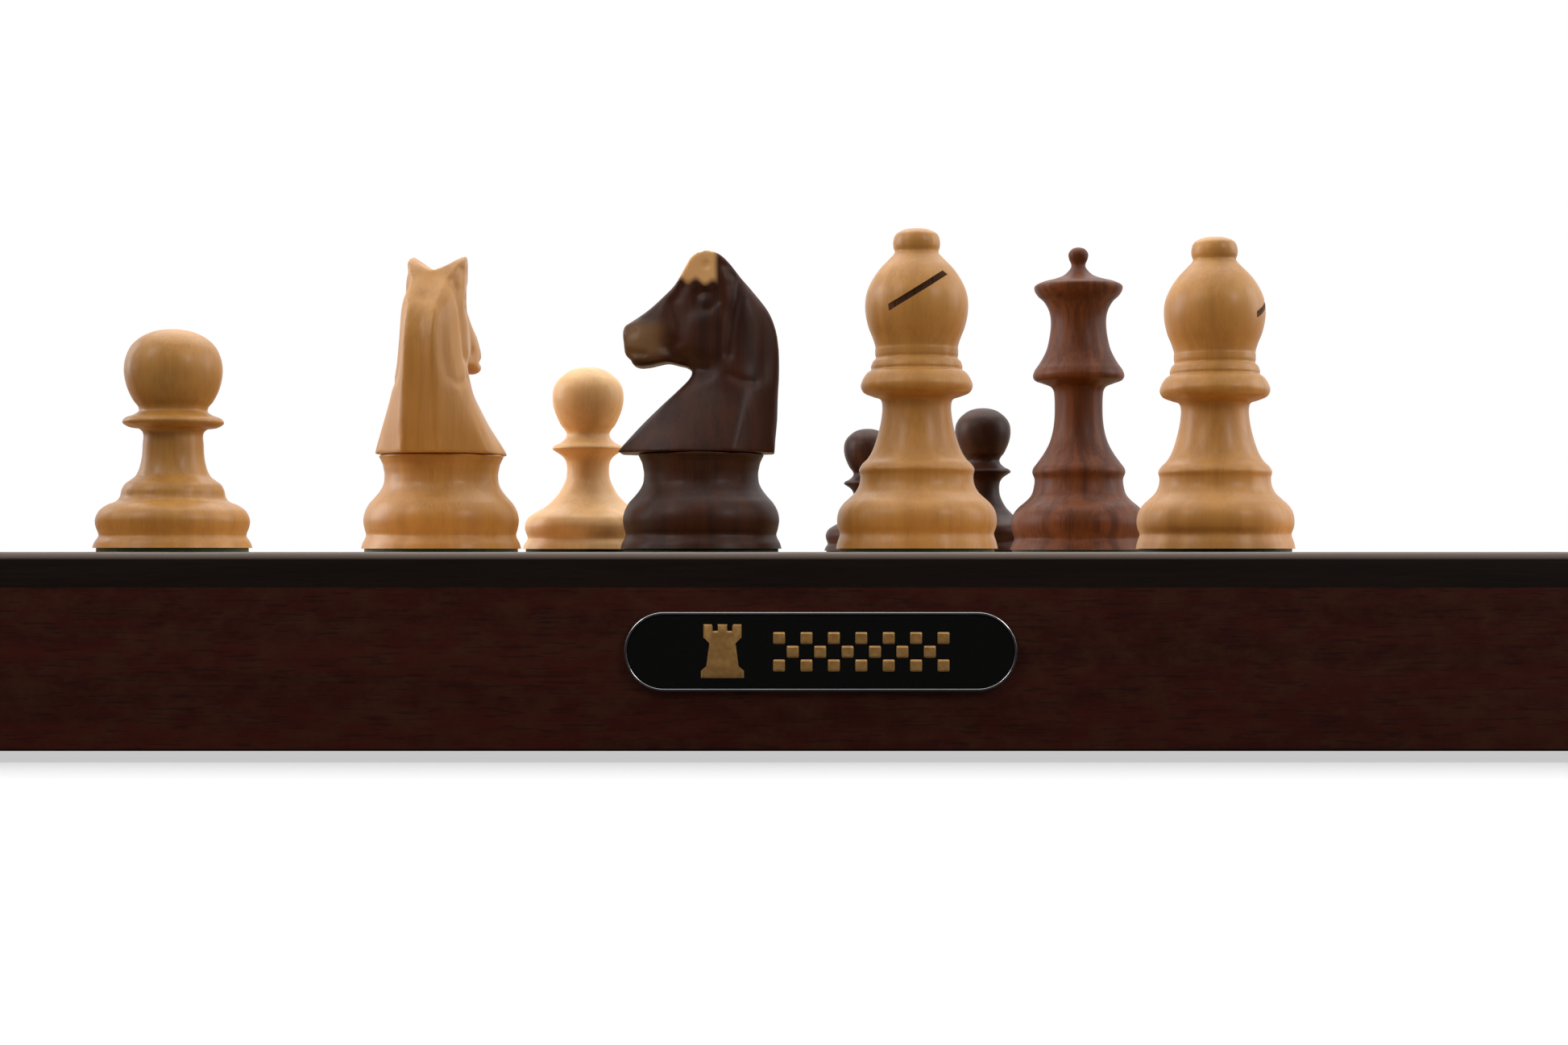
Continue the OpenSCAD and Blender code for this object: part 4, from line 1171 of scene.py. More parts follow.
@dataclass
class Modules:
    """The display, key and program modules in the rear rail.

    Attributes:
        marks: What is printed on each key.
        shown: What the display shows, as the lit segments of each place.
        digit: Width and height of a place, and the width of its segments.
        digit_pitch: Distance between places, in their widths.
        digit_slant: How far a place leans to the right, for each unit of height.
        segment_gap: How much each end of a segment gives up to its neighbour.
        segment_rise: Thickness of a segment.
        flange: Corner radius and thickness of the flange that holds a key in.
        lip: How far the flange stands out of the cap, sideways and upwards.
        corner: Radius of a key cap's corners.
        edge: Radius of a key cap's front edge.
        dish: Inset and depth of the two steps of a cap's dished face.
        mark: Line height and thickness of a key's mark.
    """

    marks: Sequence[str] = ("D4", "C3", "B2", "A1", "H8", "G7", "F6", "E5")
    shown: Sequence[str] = ("adefg", "abdeg", "g", "adefg", "bcfg")
    digit: Tuple[float, float, float] = (4.6, 8.4, 0.9)
    digit_pitch: float = 1.7
    digit_slant: float = 0.1
    segment_gap: float = 0.12
    segment_rise: float = 0.05
    flange: Tuple[float, float] = (0.6, 1.2)
    lip: Tuple[float, float] = (1.0, 0.8)
    corner: float = 1.2
    edge: float = 0.7
    dish: Sequence[Tuple[float, float]] = ((1.1, 0.03), (1.9, 0.25))
    mark: Tuple[float, float] = (4.4, 0.06)

    def build(self) -> None:
        """Finishes the cases and boards, and builds the key caps and the display's lit segments."""
        finish_node(BLACK_ABS.make(), "display_case", "display_lid", "key_case", "key_lid",
                    "program_case", "program_lid", "bay_guides", "sounder", "power_socket",
                    "switch_housing", "battery_box", "battery_door")
        finish_node(SOLDER_MASK.make(), "sensor_board", "backplane_board", "display_board", "key_board",
                    "program_board")
        finish_node(CLEAR_ACRYLIC.make(), "display_window")
        finish_node(LCD_GLASS.make(), "display_panel")
        finish_node(SILICONE.make(), "key_mat")
        finish_node(GREY_PVC.make(), "ribbon_cable")
        finish_node(IVORY_ABS.make(), "power_switch", "board_spacers")
        cap, ink = GREY_ABS.make(), PRINTED_INK.make()
        for number, words in enumerate(self.marks, 1):
            self.key(number, words, cap, ink)
        low, high = box_mm("display_panel")
        make_piece("display_segments",
                   upright(self.segments(), high[1] - HAIR, (low[2] + high[2]) / 2,
                           (low[0] + high[0]) / 2, facing=1),
                   LCD_SEGMENT.make(), "display_module")

    def segments(self) -> Shell:
        """The display's lit segments: long hexagons placed round two squares that share a side.

        Returns:
            The segments, lying flat with their middle over the origin.
        """
        wide, high, thick = self.digit
        tall = high / 2
        places = {"a": (0, tall, 0), "g": (0, 0, 0), "d": (0, -tall, 0), "f": (-wide / 2, tall / 2, 90),
                  "b": (wide / 2, tall / 2, 90), "e": (-wide / 2, -tall / 2, 90),
                  "c": (wide / 2, -tall / 2, 90)}
        shells = []
        for column, lit in enumerate(self.shown):
            for name in lit:
                x, y, turn = places[name]
                half = (wide if turn == 0 else tall) / 2 - self.segment_gap
                bar = np.array([[half, 0], [half - thick / 2, thick / 2], [thick / 2 - half, thick / 2],
                                [-half, 0], [thick / 2 - half, -thick / 2], [half - thick / 2, -thick / 2]])
                solid = stack(lambda inset: bar, [(0, 0), (0, self.segment_rise)])
                middle = (column - (len(self.shown) - 1) / 2) * wide * self.digit_pitch
                shells.append(solid.moved(middle + x + y * self.digit_slant, y, 0, turn))
        return sum(shells[1:], shells[0])

    def key(self, number: int, words: str, material: bpy.types.Material, ink: bpy.types.Material) -> None:
        """Builds one key cap, with rounded edges and a dished face, over its flange, and prints its mark.

        Args:
            number: The key's number.
            words: What is printed on it.
            material: The caps' material.
            ink: The ink's material.
        """
        low, high = box_mm(f"key_{number}")
        x, z = (low[0] + high[0]) / 2, (low[2] + high[2]) / 2
        flange_x, flange_z, depth = (high[0] - low[0]) / 2, (high[2] - low[2]) / 2, high[1] - low[1]
        radius, thickness = self.flange
        flange = stack(rounded_rectangle(flange_x, flange_z, radius, arc=3), [(0, 0), (0, thickness)])
        outline = rounded_rectangle(flange_x - self.lip[0], flange_z - self.lip[1], self.corner)
        rows = [(0, thickness - HAIR)] + round_over(depth, self.edge)
        cap = flange + stack(outline, rows + [(inset, depth - sunk) for inset, sunk in self.dish])
        make_piece(f"key_cap_{number}", upright(cap, low[1], z, x, facing=1), material, f"key_{number}",
                   [f"key_{number}"])
        face = low[1] + depth - self.dish[-1][1] - 2 * HAIR
        make_piece(f"key_mark_{number}", upright(lettering(words, *self.mark), face, z, x, facing=1), ink,
                   f"key_{number}")


@dataclass
class Underside:
    """Cover, feet, screws and the battery's parts."""

    def build(self) -> None:
        """Finishes the frame's own nodes."""
        for finish, node in ((HARDBOARD, "bottom_cover"), (PASSIVATED_STEEL, "screws"),
                             (BLACK_RUBBER, "rubber_feet"), (REED_GLASS, "reed_switches"),
                             (CELL_SLEEVE, "battery_cells"), (NICKEL_STEEL, "battery_contacts")):
            finish_node(finish.make(), node)


# ------------------------------------------------------------------ the chess pieces


class Side(Enum):
    """The finishes of the chess pieces, as their wood and its slot: plain boxwood, a paler copy of it with
    painted light, and two stained.
    """

    LIGHT = (TURNED_BOXWOOD, "boxwood")
    PAINTED_BRIGHT = (BRIGHTENED_BOXWOOD, "boxwood")
    DARK = (DARK_BOXWOOD, "dark_boxwood")
    BROWN = (BROWN_BOXWOOD, "dark_boxwood")


# Outlines of the turned pieces from the felt up: radius and height above the board, in millimetres.
PAWN_FOOT = [(14.8, 0.8), (14.4, 1.9), (13.7, 3.0), (13.7, 3.5), (14.2, 4.9), (14.3, 6.2),
             (13.6, 7.8), (12.2, 8.9)]
STOUT_PAWN = PAWN_FOOT + [
    (10.4, 9.7), (9.8, 10.5), (9.5, 11.8), (8.9, 12.9), (8.0, 13.6), (7.0, 14.4), (6.3, 15.8),
    (5.8, 18), (5.65, 20.4), (5.6, 22.6), (6.3, 23.4), (8.3, 23.8), (9.4, 24.6), (9.0, 25.4),
    (7.3, 26.1), (6.4, 26.8), (6.5, 27.6), (7.4, 28.8), (8.4, 30.8), (9.0, 33), (9.15, 35),
    (8.8, 37.1), (7.8, 39.2), (6.1, 40.8), (3.8, 41.9), (1.9, 42.3), (0, 42.4)]
SLIM_PAWN = PAWN_FOOT + [
    (10.8, 9.7), (9.7, 10.4), (8.8, 11.1), (7.8, 12.1), (6.8, 13.2), (6.1, 14.3), (5.5, 15.5),
    (5.0, 16.8), (4.8, 18.2), (4.8, 19.6), (5.05, 20.8), (5.8, 21.9), (7.2, 22.9), (8.1, 23.6),
    (7.8, 24.2), (6.3, 25), (5.2, 26), (4.85, 27), (5.3, 28), (6.1, 29), (7.1, 31), (7.8, 33),
    (8.1, 35.2), (7.85, 37.4), (7.05, 39), (5.8, 40.3), (4.0, 41.5), (2.0, 42.1), (0, 42.3)]
KNIGHT_FOOT = [
    (17.3, 0.8), (17.0, 1.9), (16.4, 3.1), (16.2, 3.8), (16.5, 5), (16.8, 6.9), (16.5, 8.7),
    (15.6, 10.5), (14.3, 12), (13.2, 13.4), (12.5, 14.8), (12.3, 16.2), (12.3, 17.2), (12.5, 18.3),
    (12.7, 19.2), (13.1, 20.1), (13.4, 21), (0, 21.4)]
BISHOP = [
    (17.3, 0.8), (17, 2.2), (16.5, 3.7), (16.5, 4.2), (17, 5.6), (17.1, 7.2), (16.7, 9),
    (15.7, 10.5), (14.3, 11.8), (13.1, 13), (12.3, 14.6), (12.1, 16.4), (12.35, 17.7),
    (11.7, 18.9), (10.6, 20), (9.5, 21.8), (8.4, 25), (7.6, 28.6), (7.4, 31.6), (7.8, 32.8),
    (9.4, 33.4), (11.4, 34.3), (12.0, 35.6), (11.5, 37.2), (10.6, 38.5), (9.8, 39.1), (9.8, 39.8),
    (9.4, 40.9), (8.8, 41.6), (8.9, 42.4), (8.9, 43.4), (8.85, 44), (9.4, 45.9), (10.3, 48.2),
    (10.9, 50.8), (11.05, 53.2), (10.7, 55.7), (9.6, 58.3), (7.9, 60.8), (6, 62.8), (4.9, 64),
    (4.7, 64.5), (5.0, 65.6), (5.0, 66.9), (4.5, 68.2), (2.7, 69.2), (0, 69.5)]
QUEEN = [
    (19.1, 0.8), (18.6, 2.2), (17.9, 3.7), (17.9, 4.3), (18.5, 6.2), (18.7, 8.4), (18, 10.8),
    (16.6, 12.6), (14.6, 14.3), (13.1, 16), (12.4, 18.2), (12.2, 20.4), (12.8, 22.2),
    (12.6, 23.3), (11.4, 25), (9.7, 27.4), (8.2, 30.2), (7.2, 33.4), (6.7, 37), (6.6, 41),
    (6.7, 43.6), (6.9, 44.9), (7.6, 46.0), (9.9, 47.0), (12.1, 47.9), (12.6, 49.0), (12.1, 50.6),
    (11.0, 52.2), (9.8, 54.2), (8.8, 56.4), (8.2, 58.8), (7.7, 62.2), (7.7, 65.2), (8.3, 67.6),
    (9.6, 69.8), (11.2, 71.3), (12.1, 72.8), (12.1, 73.9), (10.4, 74.9), (6.8, 75.9), (4.2, 76.9),
    (2.8, 78.1), (2.0, 79.3), (2.0, 80.1), (2.6, 81.6), (2.7, 83.0), (1.7, 84.3), (0, 84.8)]
KING = [
    (19.3, 0.8), (18.8, 2.2), (18.1, 3.7), (18.1, 4.3), (18.7, 6.4), (18.9, 8.8), (18.2, 11.2),
    (16.8, 13), (14.8, 14.8), (13.4, 16.6), (12.7, 19), (12.5, 21.2), (13.1, 23), (12.9, 24.1),
    (11.7, 26), (10, 28.6), (8.5, 31.6), (7.5, 35), (7, 39), (6.9, 43.6), (7.3, 46.6),
    (8.9, 48), (11.8, 49.4), (13.1, 51), (12.7, 52.6), (11.3, 54.6), (9.6, 57.6), (8.7, 61),
    (8.6, 64.4), (9.2, 68), (10.8, 71.4), (12.6, 73.6), (12.9, 74.6), (12.2, 75.6),
    (9.8, 77.2), (7, 79), (4.4, 80.4), (3, 81.4), (2.5, 82.6), (2.4, 83.4), (0, 83.6)]


def shared_upright(wood: Wood) -> bpy.types.Material:
    """A wood's material with its fibres upright, made once for all the pieces that share it."""
    return bpy.data.materials.get(f"{wood.name}_upright") or wood.make(Grain.UPRIGHT)


@dataclass
class TurnedPiece:
    """A piece turned on a lathe, with felt under it.

    Attributes:
        node: The frame node that it stands for, which is also its body.
        side: Which side it belongs to.
        profile: Radius and height of its outline from the felt up.
        turn: Degrees that it is turned about its axis.
        segments: Sides of its rings.
        felt: Thickness of the felt.
        felt_inset: How far the felt lies inside the widest part of the foot.
        foot_edge: How far the wood's sharp lower edge is taken off.
    """

    node: str
    side: Side
    profile: Sequence[Tuple[float, float]]
    turn: float = 0.0
    segments: int = 96
    felt: float = 0.8
    felt_inset: float = 0.7
    foot_edge: float = 0.15

    def place(self) -> Tuple[float, float, float]:
        """Middle of the piece's foot, from its node's box."""
        low, high = box_mm(self.node)
        return (low[0] + high[0]) / 2, (low[1] + high[1]) / 2, low[2]

    def shape(self) -> Shell:
        """The wooden part, standing at the origin."""
        curve = spline(self.profile, 6)
        curve = np.maximum(curve, [0, self.profile[0][1]])
        edge = [(0, self.felt), (self.profile[0][0] - self.foot_edge, self.felt)]
        return lathe(np.vstack([edge, curve]), self.segments)

    def build(self) -> bpy.types.Object:
        """Builds the wood and the felt, and returns the wooden piece."""
        wood, slot = self.side.value
        x, y, z = self.place()
        piece = make_piece(f"{self.node}_wood", self.shape().moved(x, y, z, self.turn),
                           self.material(wood), self.node, [self.node])
        radius, upper = self.profile[0][0] - self.felt_inset, self.felt - 2 * HAIR
        disc = np.array([(0, 0), (radius, 0), (radius, upper), (0, upper)])
        make_piece(f"{self.node}_felt", lathe(disc, self.segments // 2).moved(x, y, z),
                   bpy.data.materials.get(GREEN_FELT.name) or GREEN_FELT.make(), self.node)
        return piece

    def material(self, wood: Wood) -> bpy.types.Material:
        """The piece's lacquered wood, with its fibres upright."""
        return shared_upright(wood)


@dataclass
class Bishop(TurnedPiece):
    """A turned piece with a sloping saw cut in its mitre.

    Attributes:
        kerf: Width of the saw cut.
        depth: Depth of the cut from the front of the mitre.
        slope: Degrees by which it rises to the right.
        height: Height of its middle.
        mitre: Radius of the mitre.
        reach: Half the length and width of the saw's blade.
    """

    kerf: float = 1.3
    depth: float = 3.2
    slope: float = 32.0
    height: float = 56.5
    mitre: float = 11.0
    reach: float = 12.0

    def build(self) -> bpy.types.Object:
        """Builds the piece and saws the cut."""
        piece = super().build()
        blade = stack(rounded_rectangle(self.reach, self.reach, 0.1, arc=2),
                      [(0, -self.kerf / 2), (0, self.kerf / 2)])
        p = blade.points + [0.0, -self.reach - (self.mitre - self.depth), 0.0]
        c, s = math.cos(math.radians(self.slope)), math.sin(math.radians(self.slope))
        sloped = np.column_stack([p[:, 0] * c - p[:, 2] * s, p[:, 1],
                                  p[:, 0] * s + p[:, 2] * c + self.height])
        placed = Shell(sloped, blade.faces).moved(*self.place(), self.turn)
        # The cut's faces take the darker kerf wood: end grain, with painted shade for the narrow cut.
        kerf = shared_upright(SAWN_KERF)
        piece.data.materials.append(kerf)
        mesh = fill_mesh("blade", placed, piece.data.materials[0], kerf)
        mesh.polygons.foreach_set("material_index", np.ones(len(mesh.polygons), np.int32))
        apply_cut(piece, add_object("blade", mesh))
        return piece


@dataclass
class King(TurnedPiece):
    """A turned piece with a cross on its crown.

    Attributes:
        cross: Half-widths of the cross: its post, its arms' reach and its arms' height.
        cross_size: Distance from its middle at which an inset is worth its full width.
        waist: Half-width of the post at the arms, against that at its ends.
        flare: Height of the arms at their ends, against that at the post.
        ends: Lowest and highest point of the post, from the middle of the arms.
        middle: Height of the middle of the arms.
        faces: Inset and depth of the cross's two faces with their bevelled edges.
    """

    cross: Tuple[float, float, float] = (1.5, 4.2, 1.5)
    cross_size: float = 5.0
    waist: float = 0.7
    flare: float = 1.15
    ends: Tuple[float, float] = (-6.5, 5.5)
    middle: float = 89.5
    faces: Sequence[Tuple[float, float]] = ((0.25, -1.3), (0, -1.0), (0, 1.0), (0.25, 1.3))

    def shape(self) -> Shell:
        """The turned body with a flared cross standing in it."""
        post, reach, arm = self.cross
        foot, top = self.ends
        waist, tip = post * self.waist, arm * self.flare
        half = np.array([[post, foot], [waist, -arm], [reach, -tip], [reach, tip], [waist, arm],
                         [post, top]])
        outline = np.vstack([half, (half * [-1, 1])[::-1]])
        cross = stack(lambda inset: outline * (1 - inset / self.cross_size), self.faces)
        return super().shape() + upright(cross, 0, self.middle)


@dataclass(frozen=True)
class Stroke:
    """One mark of a carver's gouge on the flat of a horse's head.

    Attributes:
        path: Points along the mark, as x and height.
        width: Half-width at which the mark fades.
        depth: Height that it adds, negative for a groove.
        power: How suddenly it fades: 2 for a soft mark, more for a flat one with an edge.
    """

    path: Sequence[Tuple[float, float]]
    width: float
    depth: float
    power: float = 2.0

    def relief(self, x: np.ndarray, z: np.ndarray) -> np.ndarray:
        """Height that the mark adds at each point: its depth, fading with a power of the distance from it."""
        gap = distance_to_path(x, z, np.asarray(self.path, float), closed=False)
        return self.depth * np.exp(-((gap / self.width) ** self.power))


def distance_to_path(x: np.ndarray, z: np.ndarray, path: np.ndarray, closed: bool) -> np.ndarray:
    """Distance from each point to the nearest of a path's straight stretches.

    Args:
        x: First coordinate of each point.
        z: Second coordinate of each point.
        path: Array of the path's points.
        closed: Whether the last point joins the first.

    Returns:
        Array of distances, shaped like x.
    """
    if len(path) == 1:
        return np.hypot(x - path[0, 0], z - path[0, 1])
    ends = np.roll(path, -1, axis=0)
    if not closed:
        path, ends = path[:-1], ends[:-1]
    best = np.full(x.shape, np.inf)
    for (ax, az), (bx, bz) in zip(path, ends):
        dx, dz = bx - ax, bz - az
        share = np.clip(((x - ax) * dx + (z - az) * dz) / (dx * dx + dz * dz + 1e-12), 0, 1)
        best = np.minimum(best, np.hypot(x - ax - share * dx, z - az - share * dz))
    return best


def inside_path(x: np.ndarray, z: np.ndarray, path: np.ndarray) -> np.ndarray:
    """Whether each point is inside a closed path: a ray from it crosses the path an odd number of times."""
    odd = np.zeros(x.shape, bool)
    for (ax, az), (bx, bz) in zip(path, np.roll(path, -1, axis=0)):
        if az != bz:
            crosses = ((az > z) != (bz > z)) & (x < (bx - ax) * (z - az) / (bz - az) + ax)
            odd ^= crosses
    return odd


@dataclass
class Knight(TurnedPiece):
    """A carved horse's head on a turned foot, facing -X before it is turned.

    The horse is the set of points whose distance inside the side view and inside the front view, joined by
    a rounded edge, is more than zero. The carver's marks make the front view wider or narrower.

    Attributes:
        unstained: Whether the crown is left in bare wood.
        pitch: Spacing of the grid on which the horse is worked out.
        chest: Height at which the horse starts, over its foot.
        root: How far the grid reaches below that.
        room: Lowest x and y of the grid, and its highest x, y and z.
        outline: Side view of the horse, as x and height.
        stations: Places along x of the columns of half_widths.
        half_widths: Height, and half-width of the horse at each station.
        marks: The carver's marks.
        smoothing: How often the half-widths are averaged with their neighbours.
        blend: How sharply the half-widths meet the slope that holds them, per millimetre.
        ridge: Height, and half-width along the outline in front of the ears.
        mane: Half-width along the outline of the mane.
        mane_from: Where the mane's half-width holds alone, and over what length before it takes over.
        flank: How fast the slope rises inwards from the outline.
        round_share: Radius of the rounded edge, as a share of the half-width.
        round_limits: Least and greatest radius of that edge.
        round_fade: Height, and share of the edge's radius that is kept there.
        nape: Groove down the nape: its depth and half-width, where it starts, and over what length.
        valley: Height of the valley between the ears.
        ears: How far the ears rise over it, how far out that is, their power, and their steepness.
        dimple: Hollow inside each ear: its place and its radius.
        relaxing: How often the finished surface is evened out.
        bare_wood: Colour of the bare wood.
        crown: Height from which, and place up to which, the crown is bare.
        crown_fade: Lengths over which it fades at its lower and its rear edge.
        crown_wave: Waves of its lower edge: their height, how closely they follow, and their slope.
        nose: Middle of the paler patch on the nose, as x and height.
        nose_size: Half its length and half its height.
        nose_paleness: How far the patch goes towards bare wood, from 0 to 1.
    """

    unstained: bool = False
    pitch: float = 0.34
    chest: float = 21.2
    root: float = 0.8
    room: Tuple[float, float, float, float, float] = (-19.0, -14.3, 18.2, 14.3, 65.6)
    outline: Sequence[Tuple[float, float]] = (
        (-27.0, 10.6), (-20.9, 17.5), (-16.3, 22.85), (-12.5, 27.1), (-8.2, 31.4), (-4.4, 35.0), (-2.2, 37.4),
        (-1.9, 38.8), (-2.9, 39.7), (-4.8, 40.2), (-7.0, 40.7), (-8.9, 40.4), (-11.1, 39.9),
        (-13.4, 39.8), (-14.6, 40.4), (-15.1, 41.4), (-16.1, 42.3), (-16.5, 44.7), (-16.7, 47.1),
        (-16.3, 48.5), (-14.9, 49.45), (-11.5, 51.8), (-8.2, 54.7), (-5.4, 57.5), (-3.5, 60.6),
        (-2.0, 63.0), (-0.4, 64.1), (1.3, 64.4), (3.4, 63.9), (5.6, 62.3), (8.4, 59.0), (11.7, 55.4),
        (14.6, 51.8), (16.2, 48.0), (16.9, 43.75), (17.0, 39.0), (16.7, 33.3), (16.5, 28.1),
        (16.0, 23.3), (15.6, 18.0), (15.0, 10.6))
    stations: Sequence[float] = (-18.0, -12.0, -6.0, 0.0, 5.0, 9.0, 13.0, 17.0)
    half_widths: Sequence[Tuple[float, Sequence[float]]] = (
        (21.0, (6.5, 11.8, 13.6, 13.3, 13.2, 13.0, 9.8, 5.0)),
        (28.0, (5.5, 7.4, 9.0, 10.1, 10.7, 10.5, 8.0, 4.4)),
        (34.0, (5.0, 5.6, 6.3, 7.3, 8.5, 8.6, 7.0, 4.1)),
        (40.0, (5.4, 5.6, 5.6, 6.1, 7.3, 7.3, 5.9, 3.8)),
        (47.0, (3.9, 4.3, 4.6, 5.8, 6.6, 6.6, 5.4, 3.6)),
        (54.0, (3.2, 3.2, 3.9, 5.5, 6.7, 6.4, 4.8, 3.8)),
        (60.0, (3.6, 4.0, 4.4, 5.5, 6.8, 5.7, 4.4, 3.8)),
        (66.0, (3.6, 4.0, 4.8, 6.1, 6.8, 5.5, 4.4, 3.8)))
    marks: Sequence[Stroke] = (
        Stroke([(5.6, 61.0), (7.6, 58.4), (7.7, 54.0), (6.6, 48.7), (5.9, 42.1)], 1.2, -0.68),
        Stroke([(13.4, 53.0), (14.2, 48.0), (14.0, 42.0), (13.4, 37.5)], 1.6, -0.4),
        Stroke([(-3.8, 57.1), (-5.8, 53.2), (-4.8, 48.2), (-4.6, 45.0)], 1.2, -0.5),
        Stroke([(-6.8, 43.8), (-5.6, 42.1), (-2.2, 40.3), (0.8, 38.9)], 1.8, -1.08),
        Stroke([(1.5, 46.5)], 5.3, 0.54, 5.0),
        Stroke([(-8.6, 48.0)], 2.6, 0.43),
        Stroke([(-12.4, 45.8)], 2.6, 0.29),
        Stroke([(-15.1, 47.9), (-14.6, 47.0)], 0.9, -0.68),
        Stroke([(-16.6, 42.9), (-14.4, 42.6), (-12.0, 42.3)], 0.65, -0.65),
        Stroke([(1.0, 53.5)], 2.5, -0.35, 4.0),
        Stroke([(1.0, 53.4)], 1.35, 0.5, 3.0),
        Stroke([(-0.8, 55.3), (1.2, 55.9), (3.0, 55.2), (3.7, 53.4)], 0.7, -0.32),
        Stroke([(11.6, 36.0), (9.0, 36.4), (6.4, 37.6)], 0.9, -0.29))
    smoothing: int = 40
    blend: float = 1.3
    ridge: Sequence[Tuple[float, float]] = (
        (22, 7.4), (30, 6.0), (36, 5.2), (42, 4.6), (47, 3.8), (50, 2.6), (54, 2.9), (57, 4.2), (60, 7.5))
    mane: float = 4.2
    mane_from: Tuple[float, float] = (10.0, 6.0)
    flank: float = 0.95
    round_share: float = 0.3
    round_limits: Tuple[float, float] = (0.5, 1.3)
    round_fade: Sequence[Tuple[float, float]] = ((22.5, 0.3), (25, 1), (56, 1), (60, 0.3))
    nape: Tuple[float, float, float, float] = (0.7, 2.4, 7.0, 5.0)
    valley: float = 61.0
    ears: Tuple[float, float, float, float] = (3.1, 5.4, 1.5, 0.7)
    dimple: Tuple[float, float, float, float] = (0.9, 7.3, 61.2, 1.8)
    relaxing: int = 2
    bare_wood: str = "#d0a068"
    crown: Tuple[float, float] = (57.2, 3.9)
    crown_fade: Tuple[float, float] = (1.4, 1.1)
    crown_wave: Tuple[float, float, float] = (0.5, 1.7, 0.12)
    nose: Tuple[float, float] = (-12.4, 45.2)
    nose_size: Tuple[float, float] = (4.4, 3.9)
    # The nose patch is only a softly edged paler colour, towards bare wood.
    nose_paleness: float = 0.22

    def material(self, wood: Wood) -> bpy.types.Material:
        """The piece's wood, with its crown bare if it was left so."""
        if self.unstained:
            return wood.make(Grain.UPRIGHT, bare=self.bare_wood)
        return super().material(wood)

    def place(self) -> Tuple[float, float, float]:
        """Middle of the foot: the widest ring of the node, found among its lowest points."""
        points = mesh_points(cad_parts[self.node].data) / MM
        foot = points[points[:, 2] < points[:, 2].min() + 2 * self.felt]
        low, high = foot.min(axis=0), foot.max(axis=0)
        return (low[0] + high[0]) / 2, (low[1] + high[1]) / 2, low[2]

    def horse(self) -> Shell:
        """The carved part, worked out on a grid as the class says, with its nape, ears and flat base.

        Each row of the grid holds how far its points are outside the horse, and the surface is where that
        is zero.

        Returns:
            The horse as a closed shell.
        """
        low, high = np.array([*self.room[:2], self.chest - self.root]), np.array(self.room[2:])
        x, y, z = (np.arange(a, b, self.pitch) for a, b in zip(low, high))
        gx, gz = np.meshgrid(x, z, indexing="ij")
        edge = spline(self.outline, 4)
        depth = distance_to_path(gx, gz, edge, closed=True)
        depth = np.where(inside_path(gx, gz, edge), depth, -depth)
        width = self.width(gx, gz, depth)
        radius = np.clip(width * self.round_share, *self.round_limits)
        radius *= np.interp(gz, *zip(*self.round_fade))
        side = np.abs(y)[None, :, None]
        deep, wide, start, length = self.nape
        hollow = deep * np.exp(-((side / wide) ** 2)) * np.clip((gx - start) / length, 0, 1)[:, None, :]
        a = (radius - depth)[:, None, :] + hollow
        b = side - (width - radius)[:, None, :]
        body = np.hypot(np.maximum(a, 0), np.maximum(b, 0)) + np.minimum(np.maximum(a, b), 0)
        rise, out, power, steep = self.ears
        body = np.maximum(body - radius[:, None, :], steep * (z - self.valley - rise * (side / out) ** power))
        u, v, w, bore = self.dimple
        dent = np.sqrt((x[:, None, None] - u) ** 2 + (side - v) ** 2 + (z - w) ** 2) - bore
        values = np.maximum(np.maximum(body, -dent), self.chest - z)
        return relaxed(surface_net(values, low, self.pitch), self.relaxing)

    def width(self, x: np.ndarray, z: np.ndarray, depth: np.ndarray) -> np.ndarray:
        """Half-width of the horse at each point of its side view.

        The table of half-widths is blended along x and then along z, smoothed, held below a slope that
        rises from the outline, and raised or lowered by the carver's marks.

        Args:
            x: First coordinate of each point.
            z: Height of each point.
            depth: Distance of each point inside the outline.

        Returns:
            Array of half-widths, shaped like x.
        """
        heights = [row[0] for row in self.half_widths]
        along = np.stack([np.interp(x[:, 0], self.stations, row[1]) for row in self.half_widths])
        table = np.stack([np.interp(z[0], heights, column) for column in along.T])
        for _ in range(self.smoothing):
            padded = np.pad(table, 1, mode="edge")
            table = (padded[1:-1, :-2] + padded[1:-1, 2:] + padded[:-2, 1:-1] + padded[2:, 1:-1]
                     + 4 * table) / 8
        start, length = self.mane_from
        ridge = np.interp(z, *zip(*self.ridge))
        ridge = self.mane + (ridge - self.mane) * np.clip((start - x) / length, 0, 1)
        slope = ridge + self.flank * np.maximum(depth, 0)
        width = -np.logaddexp(-self.blend * table, -self.blend * slope) / self.blend
        return width + sum(mark.relief(x, z) for mark in self.marks)

    def shape(self) -> Shell:
        """The turned foot with the horse standing in it."""
        return super().shape() + self.horse()

    def build(self) -> bpy.types.Object:
        """Builds the piece, and marks its bare crown and the paler patch on its nose."""
        piece = super().build()
        if self.unstained:
            local = mesh_points(piece.data) / MM - np.array(self.place())
            c, s = math.cos(math.radians(self.turn)), math.sin(math.radians(self.turn))
            bare = piece.data.attributes.new("bare", "FLOAT", "POINT")
            bare.data.foreach_set("value", self.bareness(local[:, 0] * c + local[:, 1] * s, local[:, 2]))
        return piece

